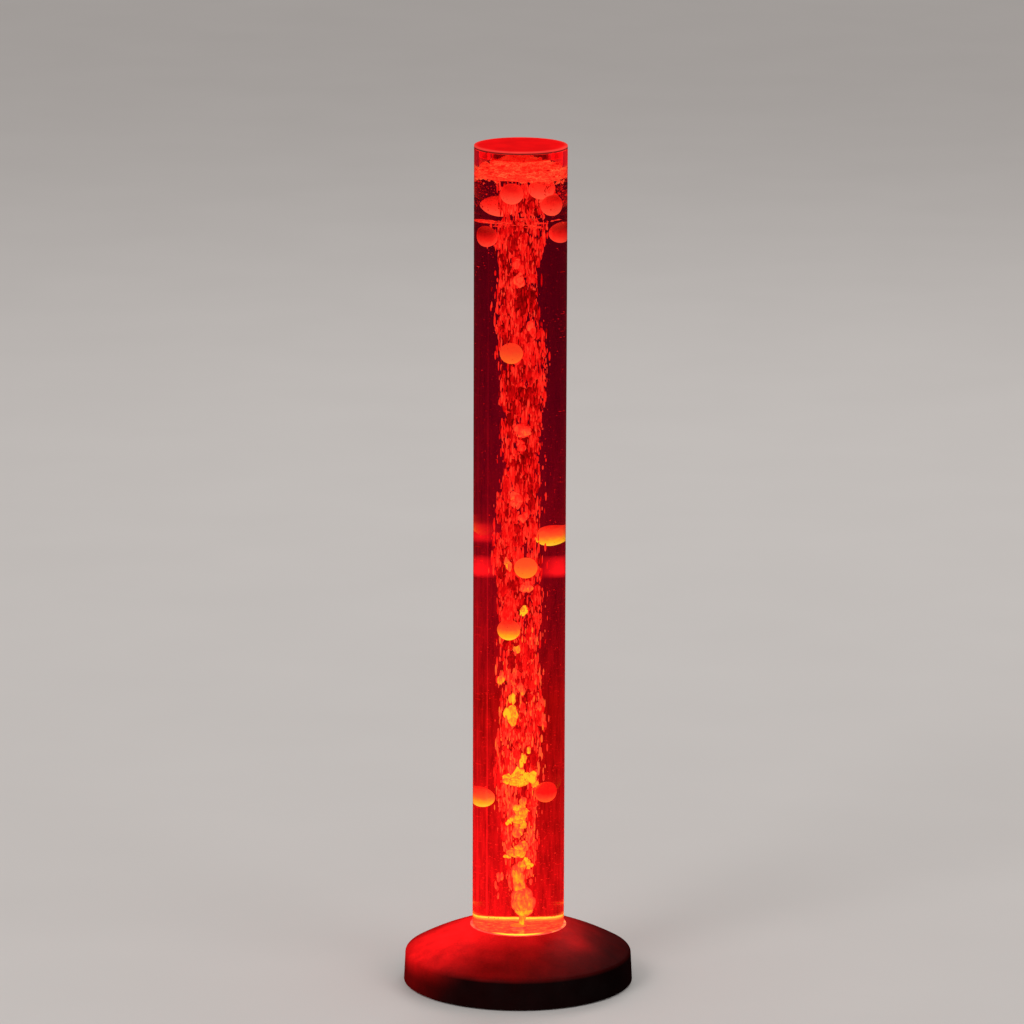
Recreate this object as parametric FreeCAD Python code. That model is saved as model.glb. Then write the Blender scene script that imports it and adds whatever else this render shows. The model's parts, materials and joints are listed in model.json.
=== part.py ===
import FreeCAD, Part
import math
import os

# Bubble tube floor lamp: a clear tube of water on a low domed base that holds
# the light and the air pump. Millimetres. The origin is on the tube's axis at
# the level of the floor, +Z is up, -Y is the front and the controls are at +Y.

os.makedirs("parts", exist_ok=True)

# ---------------------------------------------------------------- main sizes
overall_height = 925.0
tube_radius = 50.0
tube_wall = 5.0
base_radius = 125.0
base_draft = 1.6            # how far the side band leans in over its height
band_height = 33.0          # from the floor to the shoulder
shoulder_round = 4.0
neck_height = 63.0
dome_rise = 2.6             # how far the top bulges above a straight cone
shell_wall = 3.0
running_gap = 0.2           # between pieces that slide past each other
pin_gap = 0.08              # round a pivot pin
fit_gap = 0.4               # between pieces that are put together by hand
over_cut = 1.0              # how far a cutter runs past what it cuts

# --------------------------------------------------------------- base pieces
foot_radius = 9.0
foot_thickness = 3.0
foot_stand = 1.5            # how far the feet show below the plate
foot_inset = 27.0           # centre of a foot in from the edge of the base
foot_edge = 0.6
foot_angles = (45.0, 135.0, 225.0, 315.0)
plate_thickness = 3.0
case_screw_inset = 17.0
case_screw_angles = (60.0, 120.0, 180.0, 240.0, 300.0)
case_boss_radius = 5.0
case_screw_radius = 1.6
case_screw_head = 3.4
case_screw_grip = 11.0
case_screw_sink = 2.0
screw_slot_width = 0.8
screw_slot_depth = 0.8
vent_slot_width = 3.0
vent_slot_length = 34.0
vent_slot_pitch = 7.0
vent_slot_count = 4

# ----------------------------------------------------- tube and its clamping
seal_width = 2.5            # radial gap between the tube and the neck
seal_depth = 11.0
seal_stand = 0.4
seal_lip_inset = 0.3
collar_depth = 13.0
collar_thickening = 1.2      # extra wall where the dome meets the collar
flange_width = 16.0
flange_thickness = 6.0
gasket_thickness = 1.5
clamp_ring_thickness = 4.0
clamp_rib_width = 8.0
clamp_screw_radius = 1.5
clamp_screw_head = 3.2
clamp_screw_head_height = 2.0
clamp_screw_count = 6
rib_bottom = 45.0           # underside of the rib that the flange seats on
floor_top = 62.0            # bottom of the water, just under the neck's rim
floor_thickness = 20.0
lid_thickness = 3.0
lid_edge = 0.7
spigot_depth = 8.0
spigot_wall = 3.0
vent_notch_width = 6.0
vent_notch_height = 1.0
vent_notch_count = 4

# --------------------------------------------------------------------- light
board_thickness = 1.6
led_board_gap = 5.0         # in from the bore of the tube
led_board_top = 35.5
led_board_hole = 9.0
led_count = 12
led_circle = 26.0
led_side = 5.0
led_height = 1.6
led_lens_radius = 1.75
led_lens_depth = 0.4
standoff_inset = 6.0
standoff_radius = 3.0
small_screw_radius = 1.2
small_screw_head = 2.6
small_screw_head_height = 1.8
small_screw_length = 7.0

# ---------------------------------------------------------------- air system
stem_radius = 4.0
nozzle_head_radius = 6.5
nozzle_head_height = 2.5
nozzle_seal_radius = 7.0
nozzle_seal_thickness = 1.5
nozzle_nut_flats = 12.0
nozzle_nut_height = 5.0
air_bore_radius = 1.0
hose_bore_radius = 2.0
hose_radius = 3.0
hose_level = 19.0           # height of every hose and barb above the floor
barb_grip = 7.0             # how far a hose is pushed onto its barb
barb_shoulder = 3.0         # bare barb between a hose and its fitting
elbow_side = 9.0
hose_inset = 55.0           # the hose's run across the base, in from its edge
hose_bend = 24.0
valve_radius = 7.0
valve_length = 22.0
valve_centre_x = 43.0
valve_seam_stand = 0.8
valve_seam_width = 3.0

# ---------------------------------------------------------------------- pump
pump_inset = 45.0           # centre of the pump in from the edge of the base
pump_length = 60.0          # along y
pump_width = 46.0           # along x
pump_foot_height = 3.0
pump_foot_radius = 4.0
pump_body_height = 21.5
pump_wall = 2.0
pump_lid_thickness = 2.0
pump_lid_edge = 0.8
pump_foot_inset = 6.0
core_width = 24.0
core_yoke = 6.0
core_leg = 12.0
core_side_leg = 4.0
core_middle_leg = 6.0
core_height = 14.0
core_back_gap = 2.0
coil_build = 4.0            # thickness of the winding round the middle leg
coil_cheek = 1.4
coil_setback = 1.0          # from the coil to the ends of the legs
pole_gap = 1.0
magnet_length = 3.5
magnet_width = 8.0
magnet_height = 10.0
lever_thickness = 3.0
lever_height = 7.0
pivot_y = -20.0
pivot_pin_radius = 1.5
pivot_hub_radius = 4.0
pivot_hub_height = 14.0
diaphragm_y = -6.0
diaphragm_radius = 8.5
diaphragm_rim = 2.0
diaphragm_stud_radius = 2.5
diaphragm_stud_length = 2.0
diaphragm_crown_radius = 3.5
diaphragm_bead = 1.0
diaphragm_gap = 0.6         # swing left between the lever and the diaphragm
valve_head_offset = 10.0    # from the pump's centre
valve_head_width = 9.0
valve_head_length = 20.0
valve_head_clearance = 1.0  # under the pump's lid
outlet_offset = 14.5

# ---------------------------------------------- control panel at the back
panel_inset = 11.0          # face of the flat panel in its recess
panel_half_width = 46.0
panel_bottom = 7.0
panel_top = 28.0
control_level = 17.5        # height of the jack, switch and button
switch_x = -28.0
button_x = 28.0
bezel_length = 21.0
bezel_height = 15.0
bezel_thickness = 2.0
switch_length = 18.8
switch_height = 12.7
switch_depth = 14.0
rocker_length = 14.4
rocker_height = 9.1
rocker_tilt = 8.0
rocker_pin_radius = 1.2
rocker_pivot_depth = 2.5    # pivot axis behind the face of the panel
rocker_pin_length = 1.0     # each end beyond the rocker
rocker_hub_radius = 3.0
rocker_crest = 4.0          # ends of the rocker above its pivot
rocker_valley = 3.1         # middle of the rocker above its pivot
rocker_back = 0.4
switch_well_side = 0.75     # room at each end of the rocker
switch_well_depth = 6.0     # behind the pivot
bezel_edge = 0.8
tab_offset = 5.0
tab_length = 6.0
tab_thickness = 0.8
tab_width = 4.8
button_radius = 4.0
button_stand = 2.5
button_flange_radius = 5.4
button_flange_thickness = 1.3
button_stem_radius = 1.5
button_travel = 1.2
button_rest_gap = 0.1       # left at the end of the travel
button_edge = 0.8
jack_radius = 4.0
jack_flange_radius = 5.5
jack_flange_thickness = 1.5
jack_depth = 16.0
jack_bore_radius = 2.75
jack_pin_radius = 1.0
jack_bore_depth = 9.5
jack_pin_setback = 1.0
jack_nut_flats = 11.0
jack_nut_thickness = 2.0

# ------------------------------------------------------------- control board
control_half_width = 38.0
control_depth = 40.0
control_setback = 14.0      # behind the face of the panel
board_post_height = 4.5
board_post_radius = 3.0
board_screw_inset = 4.0
tact_side = 6.0
tact_plunger_radius = 1.6
tact_plunger = 2.0
tact_depth = 5.0
tact_setback = 1.0          # from the board's back edge
wire_radius = 1.3
led_wire_inset = 8.0        # in from the edge of the light board
led_plug_inset = 6.0        # from the front edge of the control board
plug_height = 6.0
plug_half = 3.0
pump_plug_x = 34.0
pump_plug_length = 9.0
pump_plug_inset = 16.0
led_plug_length = 10.0
led_wire_drop = 9.0
led_wire_bend = 5.0
pump_wire_bend = 18.0
pump_wire_offset = -10.0    # from the pump's centre
controller_side = 12.0
controller_height = 1.6
driver_side = 6.0
driver_x = 16.0
driver_height = 4.0
capacitor_radius = 4.0
capacitor_height = 11.0
capacitor_x = -20.0

# --------------------------------------------------------------------- balls
ball_diameter = 22.5
water_gap = 32.0            # from the top of the lid down to the water
# each ball's clearance from the wall of the bore, its bearing from +X in
# degrees, and its depth below the water, from the top down
ball_places = (
    (15.8, -13.0, 13.3),
    (2.5, -106.0, 15.3),
    (6.5, 62.0, 27.7),
    (0.5, -29.0, 29.8),
    (4.0, 117.0, 36.0),
    (0.2, 12.1, 62.7),
    (0.5, -160.0, 64.4),
    (2.5, -106.0, 187.9),
    (2.3, 48.0, 396.9),
    (4.1, -78.0, 423.1),
    (2.1, -109.0, 491.7),
    (3.1, -33.6, 675.4),
    (2.4, 157.0, 687.7),
)

# ------------------------------------------------------ sizes that follow
bore_radius = tube_radius - tube_wall
water_level = overall_height - water_gap
foot_circle = base_radius - foot_inset
case_screw_circle = base_radius - case_screw_inset
flange_radius = tube_radius + flange_width
led_board_radius = bore_radius - led_board_gap
standoff_circle = led_board_radius - standoff_inset
hose_front = hose_inset - base_radius
pump_centre_x = base_radius - pump_inset
valve_head_x = pump_centre_x + valve_head_offset
outlet_x = pump_centre_x + outlet_offset
panel_y = base_radius - panel_inset
control_back = panel_y - control_setback
control_front = control_back - control_depth
led_wire_y = led_board_radius - led_wire_inset
led_plug_y = control_front + led_plug_inset
pump_plug_y = control_front + pump_plug_inset
pump_wire_x = pump_centre_x + pump_wire_offset
neck_radius = tube_radius + seal_width
collar_radius = neck_radius + shell_wall
shoulder_radius = base_radius - base_draft
plate_bottom = foot_stand
plate_top = plate_bottom + plate_thickness
tube_top = overall_height - lid_thickness
flange_top = rib_bottom - gasket_thickness
tube_bottom = flange_top - flange_thickness
floor_bottom = floor_top - floor_thickness
clamp_circle = flange_radius - clamp_rib_width / 2
clamp_ring_bottom = tube_bottom - clamp_ring_thickness
led_board_bottom = led_board_top - board_thickness
pump_bottom = plate_top + pump_foot_height
pump_top = pump_bottom + pump_body_height
pump_x_low = pump_centre_x - pump_width / 2
pump_x_high = pump_centre_x + pump_width / 2
pump_y_end = pump_length / 2
pump_floor = pump_bottom + pump_wall
core_y_high = pump_y_end - pump_wall - core_back_gap
core_y_low = core_y_high - core_yoke - core_leg
control_bottom = plate_top + board_post_height
control_top = control_bottom + board_thickness
outlet_end = -pump_y_end - barb_shoulder - barb_grip


# ------------------------------------------------------------- small helpers
def save(node, shape):
    """Write one sub-part to its own file."""
    shape.exportStep(f"parts/{node}.step")
    print(f"{node:20s} {len(shape.Solids)} solid, {shape.Volume / 1000.0:9.2f} cm3")


def point(x, y, z):
    return FreeCAD.Vector(x, y, z)


def box(x0, x1, y0, y1, z0, z1):
    return Part.makeBox(x1 - x0, y1 - y0, z1 - z0, point(x0, y0, z0))


def upright(radius, z0, z1, x=0.0, y=0.0):
    """An upright cylinder."""
    return Part.makeCylinder(radius, z1 - z0, point(x, y, z0))


def along_y(radius, x, y0, y1, z):
    """A cylinder that lies along y."""
    return Part.makeCylinder(radius, y1 - y0, point(x, y0, z), point(0, 1, 0))


def along_x(radius, x0, x1, y, z):
    """A cylinder that lies along x."""
    return Part.makeCylinder(radius, x1 - x0, point(x0, y, z), point(1, 0, 0))


def ring(outer, inner, z0, z1, x=0.0, y=0.0):
    return upright(outer, z0, z1, x, y).cut(upright(inner, z0, z1, x, y))


def polar(radius, angle):
    """x and y of a point on a circle round the lamp's axis, angle in degrees."""
    return radius * math.cos(math.radians(angle)), radius * math.sin(math.radians(angle))


def even_angles(count, first=0.0):
    return [first + 360.0 * i / count for i in range(count)]


def revolve(edges):
    """A solid turned round the lamp's axis from a closed outline in x and z."""
    face = Part.Face(Part.Wire(edges))
    return face.revolve(point(0, 0, 0), point(0, 0, 1), 360)


def line(a, b):
    return Part.LineSegment(point(a[0], 0, a[1]), point(b[0], 0, b[1])).toShape()


def arc(a, b, c):
    return Part.Arc(point(a[0], 0, a[1]), point(b[0], 0, b[1]), point(c[0], 0, c[1])).toShape()


def prism(flats, z0, z1, sides=6):
    """An upright nut blank on the lamp's axis, across its flats."""
    corner = flats / 2 / math.cos(math.pi / sides)
    corners = [point(*polar(corner, angle), z0) for angle in even_angles(sides)]
    return Part.Face(Part.makePolygon(corners + corners[:1])).extrude(point(0, 0, z1 - z0))


def rounded_path(points, bend):
    """Straight runs joined by tangent arcs of one radius, and their length."""
    edges = []
    start = points[0]
    for before, corner, after in zip(points, points[1:], points[2:]):
        to_before = (before - corner).normalize()
        to_after = (after - corner).normalize()
        half = to_before.getAngle(to_after) / 2
        back = bend / math.tan(half)
        middle = (to_before + to_after).normalize() * (bend / math.sin(half) - bend)
        arc_start = corner + to_before * back
        arc_end = corner + to_after * back
        edges.append(Part.LineSegment(start, arc_start).toShape())
        edges.append(Part.Arc(arc_start, corner + middle, arc_end).toShape())
        start = arc_end
    edges.append(Part.LineSegment(start, points[-1]).toShape())
    return Part.Wire(edges)


def swept(path, radius):
    """A round bar along a path."""
    first = path.Edges[0]
    heading = first.tangentAt(first.FirstParameter)
    circle = Part.Wire(Part.makeCircle(radius, first.Vertexes[0].Point, heading))
    return path.makePipeShell([circle], True, False)


# --------------------------------------------------------------- base shell
def dome_point(share, inward):
    """A point on the domed top, share 0 at the shoulder and 1 at the neck."""
    rise = dome_rise * 4 * share * (1 - share)
    radius = shoulder_radius + (neck_radius - shoulder_radius) * share
    return radius, band_height + (neck_height - band_height) * share + rise - inward


def base_body():
    """The moulded shape before it is hollowed."""
    low = (base_radius, plate_bottom)
    shoulder = dome_point(0, 0)
    neck = dome_point(1, 0)
    edges = [
        line((0, plate_bottom), low),
        line(low, shoulder),
        arc(shoulder, dome_point(0.5, 0), neck),
        line(neck, (0, neck[1])),
        line((0, neck[1]), (0, plate_bottom)),
    ]
    body = revolve(edges)
    rim = [e for e in body.Edges if abs(e.BoundBox.ZMax - band_height) < 0.01 and e.BoundBox.ZLength < 0.01]
    return body.makeFillet(shoulder_round, rim)


def base_cavity():
    """The hollow under the dome, outside the collar that holds the seal."""
    shoulder = dome_point(0, 0)
    middle = dome_point(0.5, shell_wall)
    inner_low = (base_radius - shell_wall, plate_bottom)
    inner_shoulder = (shoulder[0] - shell_wall, shoulder[1] - shell_wall)
    top = (collar_radius, neck_height - shell_wall - collar_thickening)
    collar_end = (collar_radius, neck_height - collar_depth)
    edges = [
        line((0, plate_bottom), inner_low),
        line(inner_low, inner_shoulder),
        arc(inner_shoulder, middle, top),
        line(top, collar_end),
        line(collar_end, (0, collar_end[1])),
        line((0, collar_end[1]), (0, plate_bottom)),
    ]
    return revolve(edges)


def make_base_shell():
    body = base_body()
    shell = body.cut(base_cavity())
    collar_end = neck_height - collar_depth
    shell = shell.cut(upright(neck_radius, collar_end - over_cut, neck_height + over_cut))
    rib = ring(flange_radius, flange_radius - clamp_rib_width, rib_bottom, neck_height)
    shell = shell.fuse(rib.common(body))
    for angle in case_screw_angles:
        x, y = polar(case_screw_circle, angle)
        shell = shell.fuse(upright(case_boss_radius, plate_top, neck_height, x, y).common(body))
    outer_half = panel_half_width + shell_wall
    panel = box(-outer_half, outer_half, panel_y - shell_wall, base_radius, plate_top, panel_top + shell_wall)
    shell = shell.fuse(panel.common(body))
    recess_end = base_radius + over_cut
    recess = box(-panel_half_width, panel_half_width, panel_y, recess_end, panel_bottom, panel_top)
    shell = shell.cut(recess)
    window_low = control_level - switch_height / 2
    window = box(
        switch_x - switch_length / 2, switch_x + switch_length / 2,
        panel_y - shell_wall, panel_y, window_low, window_low + switch_height,
    )
    shell = shell.cut(window)
    shell = shell.cut(along_y(jack_radius, 0, panel_y - shell_wall, panel_y, control_level))
    button_hole = button_radius + running_gap
    shell = shell.cut(along_y(button_hole, button_x, panel_y - shell_wall, panel_y, control_level))
    for angle in case_screw_angles:
        x, y = polar(case_screw_circle, angle)
        shell = shell.cut(upright(case_screw_radius, plate_top, plate_top + case_screw_grip, x, y))
    for angle in clamp_angles():
        x, y = polar(clamp_circle, angle)
        shell = shell.cut(upright(clamp_screw_radius, rib_bottom, rib_bottom + clamp_rib_width, x, y))
    return shell.removeSplitter()


# ------------------------------------------------- base plate, feet, screws
def board_posts():
    """Where the control board is screwed down."""
    x = control_half_width - board_screw_inset
    rows = (control_front + board_screw_inset, control_back - board_screw_inset)
    return [(side * x, y) for side in (-1, 1) for y in rows]


def make_base_plate():
    plate = upright(base_radius - shell_wall - fit_gap, plate_bottom, plate_top)
    for angle in foot_angles:
        x, y = polar(foot_circle, angle)
        plate = plate.cut(upright(foot_radius, plate_bottom, foot_thickness, x, y))
    for angle in case_screw_angles:
        x, y = polar(case_screw_circle, angle)
        plate = plate.cut(upright(case_screw_radius, plate_bottom, plate_top, x, y))
        sink = Part.makeCone(case_screw_head, case_screw_radius, case_screw_sink, point(x, y, plate_bottom))
        plate = plate.cut(sink)
    for x, y in board_posts():
        plate = plate.fuse(upright(board_post_radius, plate_top, control_bottom, x, y))
        hole_bottom = control_top - small_screw_length
        plate = plate.cut(upright(small_screw_radius, hole_bottom, control_bottom, x, y))
    first = pump_centre_x - vent_slot_pitch * (vent_slot_count - 1) / 2
    for i in range(vent_slot_count):
        x = first + i * vent_slot_pitch
        half = vent_slot_width / 2
        reach = vent_slot_length / 2
        plate = plate.cut(box(x - half, x + half, -reach, reach, plate_bottom, plate_top))
    return plate.removeSplitter()


def make_foot(angle):
    x, y = polar(foot_circle, angle)
    foot = upright(foot_radius, 0, foot_thickness, x, y)
    low = [e for e in foot.Edges if e.BoundBox.ZMax < 0.01]
    return foot.makeChamfer(foot_edge, low)


def make_case_screws():
    screws = []
    for angle in case_screw_angles:
        x, y = polar(case_screw_circle, angle)
        head = Part.makeCone(case_screw_head, case_screw_radius, case_screw_sink, point(x, y, plate_bottom))
        shank = upright(case_screw_radius, plate_bottom + case_screw_sink, plate_top + case_screw_grip, x, y)
        slot_half = screw_slot_width / 2
        slot = box(x - case_screw_head, x + case_screw_head, y - slot_half, y + slot_half,
                   plate_bottom, plate_bottom + screw_slot_depth)
        screws.append(head.fuse(shank).cut(slot))
    return Part.makeCompound(screws)


# ------------------------------------------------------ tube and its clamping
def clamp_angles():
    return even_angles(clamp_screw_count, 180.0 / clamp_screw_count)


def drilled(shape, z0, z1):
    """Cut the clamp screws' clearance holes."""
    for angle in clamp_angles():
        x, y = polar(clamp_circle, angle)
        shape = shape.cut(upright(clamp_screw_radius + running_gap, z0, z1, x, y))
    return shape


def make_tube():
    return ring(tube_radius, bore_radius, tube_bottom, tube_top)


def make_tube_floor():
    return ring(bore_radius, stem_radius, floor_bottom, floor_top)


def make_tube_flange():
    return drilled(ring(flange_radius, tube_radius, tube_bottom, flange_top), tube_bottom, flange_top)


def make_flange_gasket():
    inner = flange_radius - clamp_rib_width
    return drilled(ring(flange_radius, inner, flange_top, rib_bottom), flange_top, rib_bottom)


def make_clamp_ring():
    inner = tube_radius + seal_width
    return drilled(ring(flange_radius, inner, clamp_ring_bottom, tube_bottom), clamp_ring_bottom, tube_bottom)


def make_clamp_screws():
    screws = []
    for angle in clamp_angles():
        x, y = polar(clamp_circle, angle)
        head = upright(clamp_screw_head, clamp_ring_bottom - clamp_screw_head_height, clamp_ring_bottom, x, y)
        shank = upright(clamp_screw_radius, clamp_ring_bottom, rib_bottom + clamp_rib_width, x, y)
        screws.append(head.fuse(shank))
    return Part.makeCompound(screws)


def make_tube_seal():
    seal = ring(neck_radius, tube_radius, neck_height - seal_depth, neck_height)
    lip = ring(neck_radius - seal_lip_inset, tube_radius, neck_height, neck_height + seal_stand)
    return seal.fuse(lip).removeSplitter()


def make_lid():
    spigot_radius = bore_radius - fit_gap
    disc = upright(tube_radius, tube_top, overall_height)
    edge = [e for e in disc.Edges if e.BoundBox.ZMin > overall_height - 0.01]
    lid = disc.makeFillet(lid_edge, edge)
    lid = lid.fuse(ring(spigot_radius, spigot_radius - spigot_wall, tube_top - spigot_depth, tube_top))
    half = vent_notch_width / 2
    for angle in even_angles(vent_notch_count, 45.0):
        inside = spigot_radius - 2 * spigot_wall
        spigot_notch = box(inside, tube_radius, -half, half, tube_top - spigot_depth, tube_top)
        rim_notch = box(inside, tube_radius, -half, half, tube_top, tube_top + vent_notch_height)
        notch = spigot_notch.fuse(rim_notch)
        notch.rotate(point(0, 0, 0), point(0, 0, 1), angle)
        lid = lid.cut(notch)
    return lid.removeSplitter()


# --------------------------------------------------------------------- light
def standoff_places():
    return [polar(standoff_circle, angle) for angle in even_angles(4, 45.0)]


def make_led_board():
    board = ring(led_board_radius, led_board_hole, led_board_bottom, led_board_top)
    for x, y in standoff_places():
        board = board.cut(upright(small_screw_radius, led_board_bottom, led_board_top, x, y))
    return board


def make_leds():
    half = led_side / 2
    leds = []
    for angle in even_angles(led_count):
        top = led_board_top + led_height
        led = box(led_circle - half, led_circle + half, -half, half, led_board_top, top)
        led = led.cut(upright(led_lens_radius, top - led_lens_depth, top, led_circle))
        led.rotate(point(0, 0, 0), point(0, 0, 1), angle)
        leds.append(led)
    return Part.makeCompound(leds)


def make_led_standoffs():
    pillars = []
    hole_bottom = led_board_top - small_screw_length
    for x, y in standoff_places():
        pillar = upright(standoff_radius, plate_top, led_board_bottom, x, y)
        pillars.append(pillar.cut(upright(small_screw_radius, hole_bottom, led_board_bottom, x, y)))
    return Part.makeCompound(pillars)


def small_screw(x, y, seat):
    """A pan-head screw whose head bears on a board at the height seat."""
    head = upright(small_screw_head, seat, seat + small_screw_head_height, x, y)
    return head.fuse(upright(small_screw_radius, seat - small_screw_length, seat, x, y))


def make_led_screws():
    return Part.makeCompound([small_screw(x, y, led_board_top) for x, y in standoff_places()])


# ---------------------------------------------------------------- air system
def make_air_nozzle():
    seat = floor_top + nozzle_seal_thickness
    elbow_half = elbow_side / 2
    stem = upright(stem_radius, hose_level + elbow_half, seat)
    head = Part.makeCone(nozzle_head_radius, stem_radius, nozzle_head_height, point(0, 0, seat))
    elbow = box(-elbow_half, elbow_half, -elbow_half, elbow_half,
                hose_level - elbow_half, hose_level + elbow_half)
    barb_end = -elbow_half - barb_grip - barb_shoulder
    barb = along_y(hose_bore_radius, 0, barb_end, -elbow_half, hose_level)
    body = stem.fuse(head).fuse(elbow).fuse(barb)
    body = body.cut(upright(air_bore_radius, hose_level, seat + nozzle_head_height))
    body = body.cut(along_y(air_bore_radius, 0, barb_end, 0, hose_level))
    return body.removeSplitter()


def make_nozzle_seal():
    return ring(nozzle_seal_radius, stem_radius, floor_top, floor_top + nozzle_seal_thickness)


def make_nozzle_nut():
    nut = prism(nozzle_nut_flats, floor_bottom - nozzle_nut_height, floor_bottom)
    return nut.cut(upright(stem_radius, floor_bottom - nozzle_nut_height, floor_bottom))


def make_check_valve():
    low = valve_centre_x - valve_length / 2
    high = valve_centre_x + valve_length / 2
    body = along_x(valve_radius, low, high, hose_front, hose_level)
    seam_half = valve_seam_width / 2
    seam = along_x(valve_radius + valve_seam_stand, valve_centre_x - seam_half,
                   valve_centre_x + seam_half, hose_front, hose_level)
    barbs = along_x(hose_bore_radius, low - barb_grip, high + barb_grip, hose_front, hose_level)
    bore = along_x(air_bore_radius, low - barb_grip, high + barb_grip, hose_front, hose_level)
    return body.fuse(seam).fuse(barbs).cut(bore).removeSplitter()


def make_hose(points):
    path = rounded_path(points, hose_bend)
    hose = swept(path, hose_radius).cut(swept(path, hose_bore_radius))
    section = math.pi * (hose_radius ** 2 - hose_bore_radius ** 2)
    ratio = hose.Volume / path.Length / section
    print(f"hose length {path.Length:.1f}, bend {hose_bend}, volume ratio {ratio:.4f}")
    return hose


def make_air_hose_lower():
    """From the pump's outlet to the check valve."""
    valve_end = valve_centre_x + valve_length / 2
    return make_hose([
        point(outlet_x, outlet_end + barb_grip, hose_level),
        point(outlet_x, hose_front, hose_level),
        point(valve_end, hose_front, hose_level),
    ])


def make_air_hose_upper():
    """From the check valve to the nozzle's elbow."""
    valve_end = valve_centre_x - valve_length / 2
    return make_hose([
        point(valve_end, hose_front, hose_level),
        point(0, hose_front, hose_level),
        point(0, -elbow_side / 2 - barb_shoulder, hose_level),
    ])


# ---------------------------------------------------------------------- pump
def make_pump_housing():
    housing = box(pump_x_low, pump_x_high, -pump_y_end, pump_y_end, pump_bottom, pump_top)
    housing = housing.cut(box(
        pump_x_low + pump_wall, pump_x_high - pump_wall,
        -pump_y_end + pump_wall, pump_y_end - pump_wall, pump_floor, pump_top,
    ))
    half = core_width / 2
    core_bottom = hose_level - core_height / 2
    for side in (-1, 1):
        outer = pump_centre_x + side * half
        inner = outer - side * core_side_leg
        pad = box(min(outer, inner), max(outer, inner), core_y_low, core_y_high, pump_floor, core_bottom)
        housing = housing.fuse(pad)
    outlet = along_y(hose_bore_radius, outlet_x, -pump_y_end, -pump_y_end + pump_wall, hose_level)
    wire_exit = along_y(wire_radius, pump_wire_x, pump_y_end - pump_wall, pump_y_end, wire_level())
    return housing.cut(outlet).cut(wire_exit).removeSplitter()


def make_pump_lid():
    lid = box(pump_x_low, pump_x_high, -pump_y_end, pump_y_end, pump_top, pump_top + pump_lid_thickness)
    upper = [e for e in lid.Edges if e.BoundBox.ZMin > pump_top + pump_lid_thickness - 0.01]
    return lid.makeChamfer(pump_lid_edge, upper)


def make_pump_feet():
    feet = []
    for x in (pump_x_low + pump_foot_inset, pump_x_high - pump_foot_inset):
        for y in (-pump_y_end + pump_foot_inset, pump_y_end - pump_foot_inset):
            feet.append(upright(pump_foot_radius, plate_top, pump_bottom, x, y))
    return Part.makeCompound(feet)


def make_pump_core():
    half = core_width / 2
    low = hose_level - core_height / 2
    high = hose_level + core_height / 2
    yoke_y = core_y_high - core_yoke
    core = box(pump_centre_x - half, pump_centre_x + half, yoke_y, core_y_high, low, high)
    for centre, width in ((-half + core_side_leg / 2, core_side_leg), (0, core_middle_leg),
                          (half - core_side_leg / 2, core_side_leg)):
        x = pump_centre_x + centre
        core = core.fuse(box(x - width / 2, x + width / 2, core_y_low, yoke_y, low, high))
    return core.removeSplitter()


def make_pump_coil():
    half = core_middle_leg / 2
    outer = half + coil_build
    leg_half = core_height / 2
    yoke_y = core_y_high - core_yoke
    winding = box(pump_centre_x - outer, pump_centre_x + outer, core_y_low + coil_setback, yoke_y,
                  hose_level - leg_half - coil_cheek, hose_level + leg_half + coil_cheek)
    return winding.cut(box(pump_centre_x - half, pump_centre_x + half, core_y_low + coil_setback, yoke_y,
                           hose_level - leg_half, hose_level + leg_half))


def magnet_y():
    """Near and far ends of the magnet."""
    far = core_y_low - pole_gap
    return far - magnet_length, far


def make_pump_lever():
    start, _ = magnet_y()
    half = lever_thickness / 2
    arm = box(pump_centre_x - half, pump_centre_x + half, pivot_y, start,
              hose_level - lever_height / 2, hose_level + lever_height / 2)
    low = hose_level - pivot_hub_height / 2
    high = hose_level + pivot_hub_height / 2
    lever = arm.fuse(upright(pivot_hub_radius, low, high, pump_centre_x, pivot_y))
    bore = upright(pivot_pin_radius + pin_gap, low, high, pump_centre_x, pivot_y)
    return lever.cut(bore).removeSplitter()


def make_pump_magnet():
    near, far = magnet_y()
    return box(pump_centre_x - magnet_width / 2, pump_centre_x + magnet_width / 2, near, far,
               hose_level - magnet_height / 2, hose_level + magnet_height / 2)


def make_pump_pivot_pin():
    return upright(pivot_pin_radius, pump_floor, pump_top, pump_centre_x, pivot_y)


def make_pump_diaphragm():
    start = pump_centre_x + lever_thickness / 2 + diaphragm_gap
    crown = start + diaphragm_stud_length
    stud = along_x(diaphragm_stud_radius, start, crown, diaphragm_y, hose_level)
    neck = valve_head_x - diaphragm_rim
    bell = Part.makeCone(diaphragm_crown_radius, diaphragm_radius - diaphragm_bead, neck - crown,
                         point(crown, diaphragm_y, hose_level), point(1, 0, 0))
    rim = along_x(diaphragm_radius, neck, valve_head_x, diaphragm_y, hose_level)
    return stud.fuse(bell).fuse(rim).removeSplitter()


def make_pump_valve_head():
    y_mid = diaphragm_y
    half = valve_head_length / 2
    head = box(valve_head_x, valve_head_x + valve_head_width, y_mid - half, y_mid + half,
               pump_floor, pump_top - valve_head_clearance)
    barb = along_y(hose_bore_radius, outlet_x, outlet_end, y_mid - half, hose_level)
    bore = along_y(air_bore_radius, outlet_x, outlet_end, y_mid, hose_level)
    return head.fuse(barb).cut(bore).removeSplitter()


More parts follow.
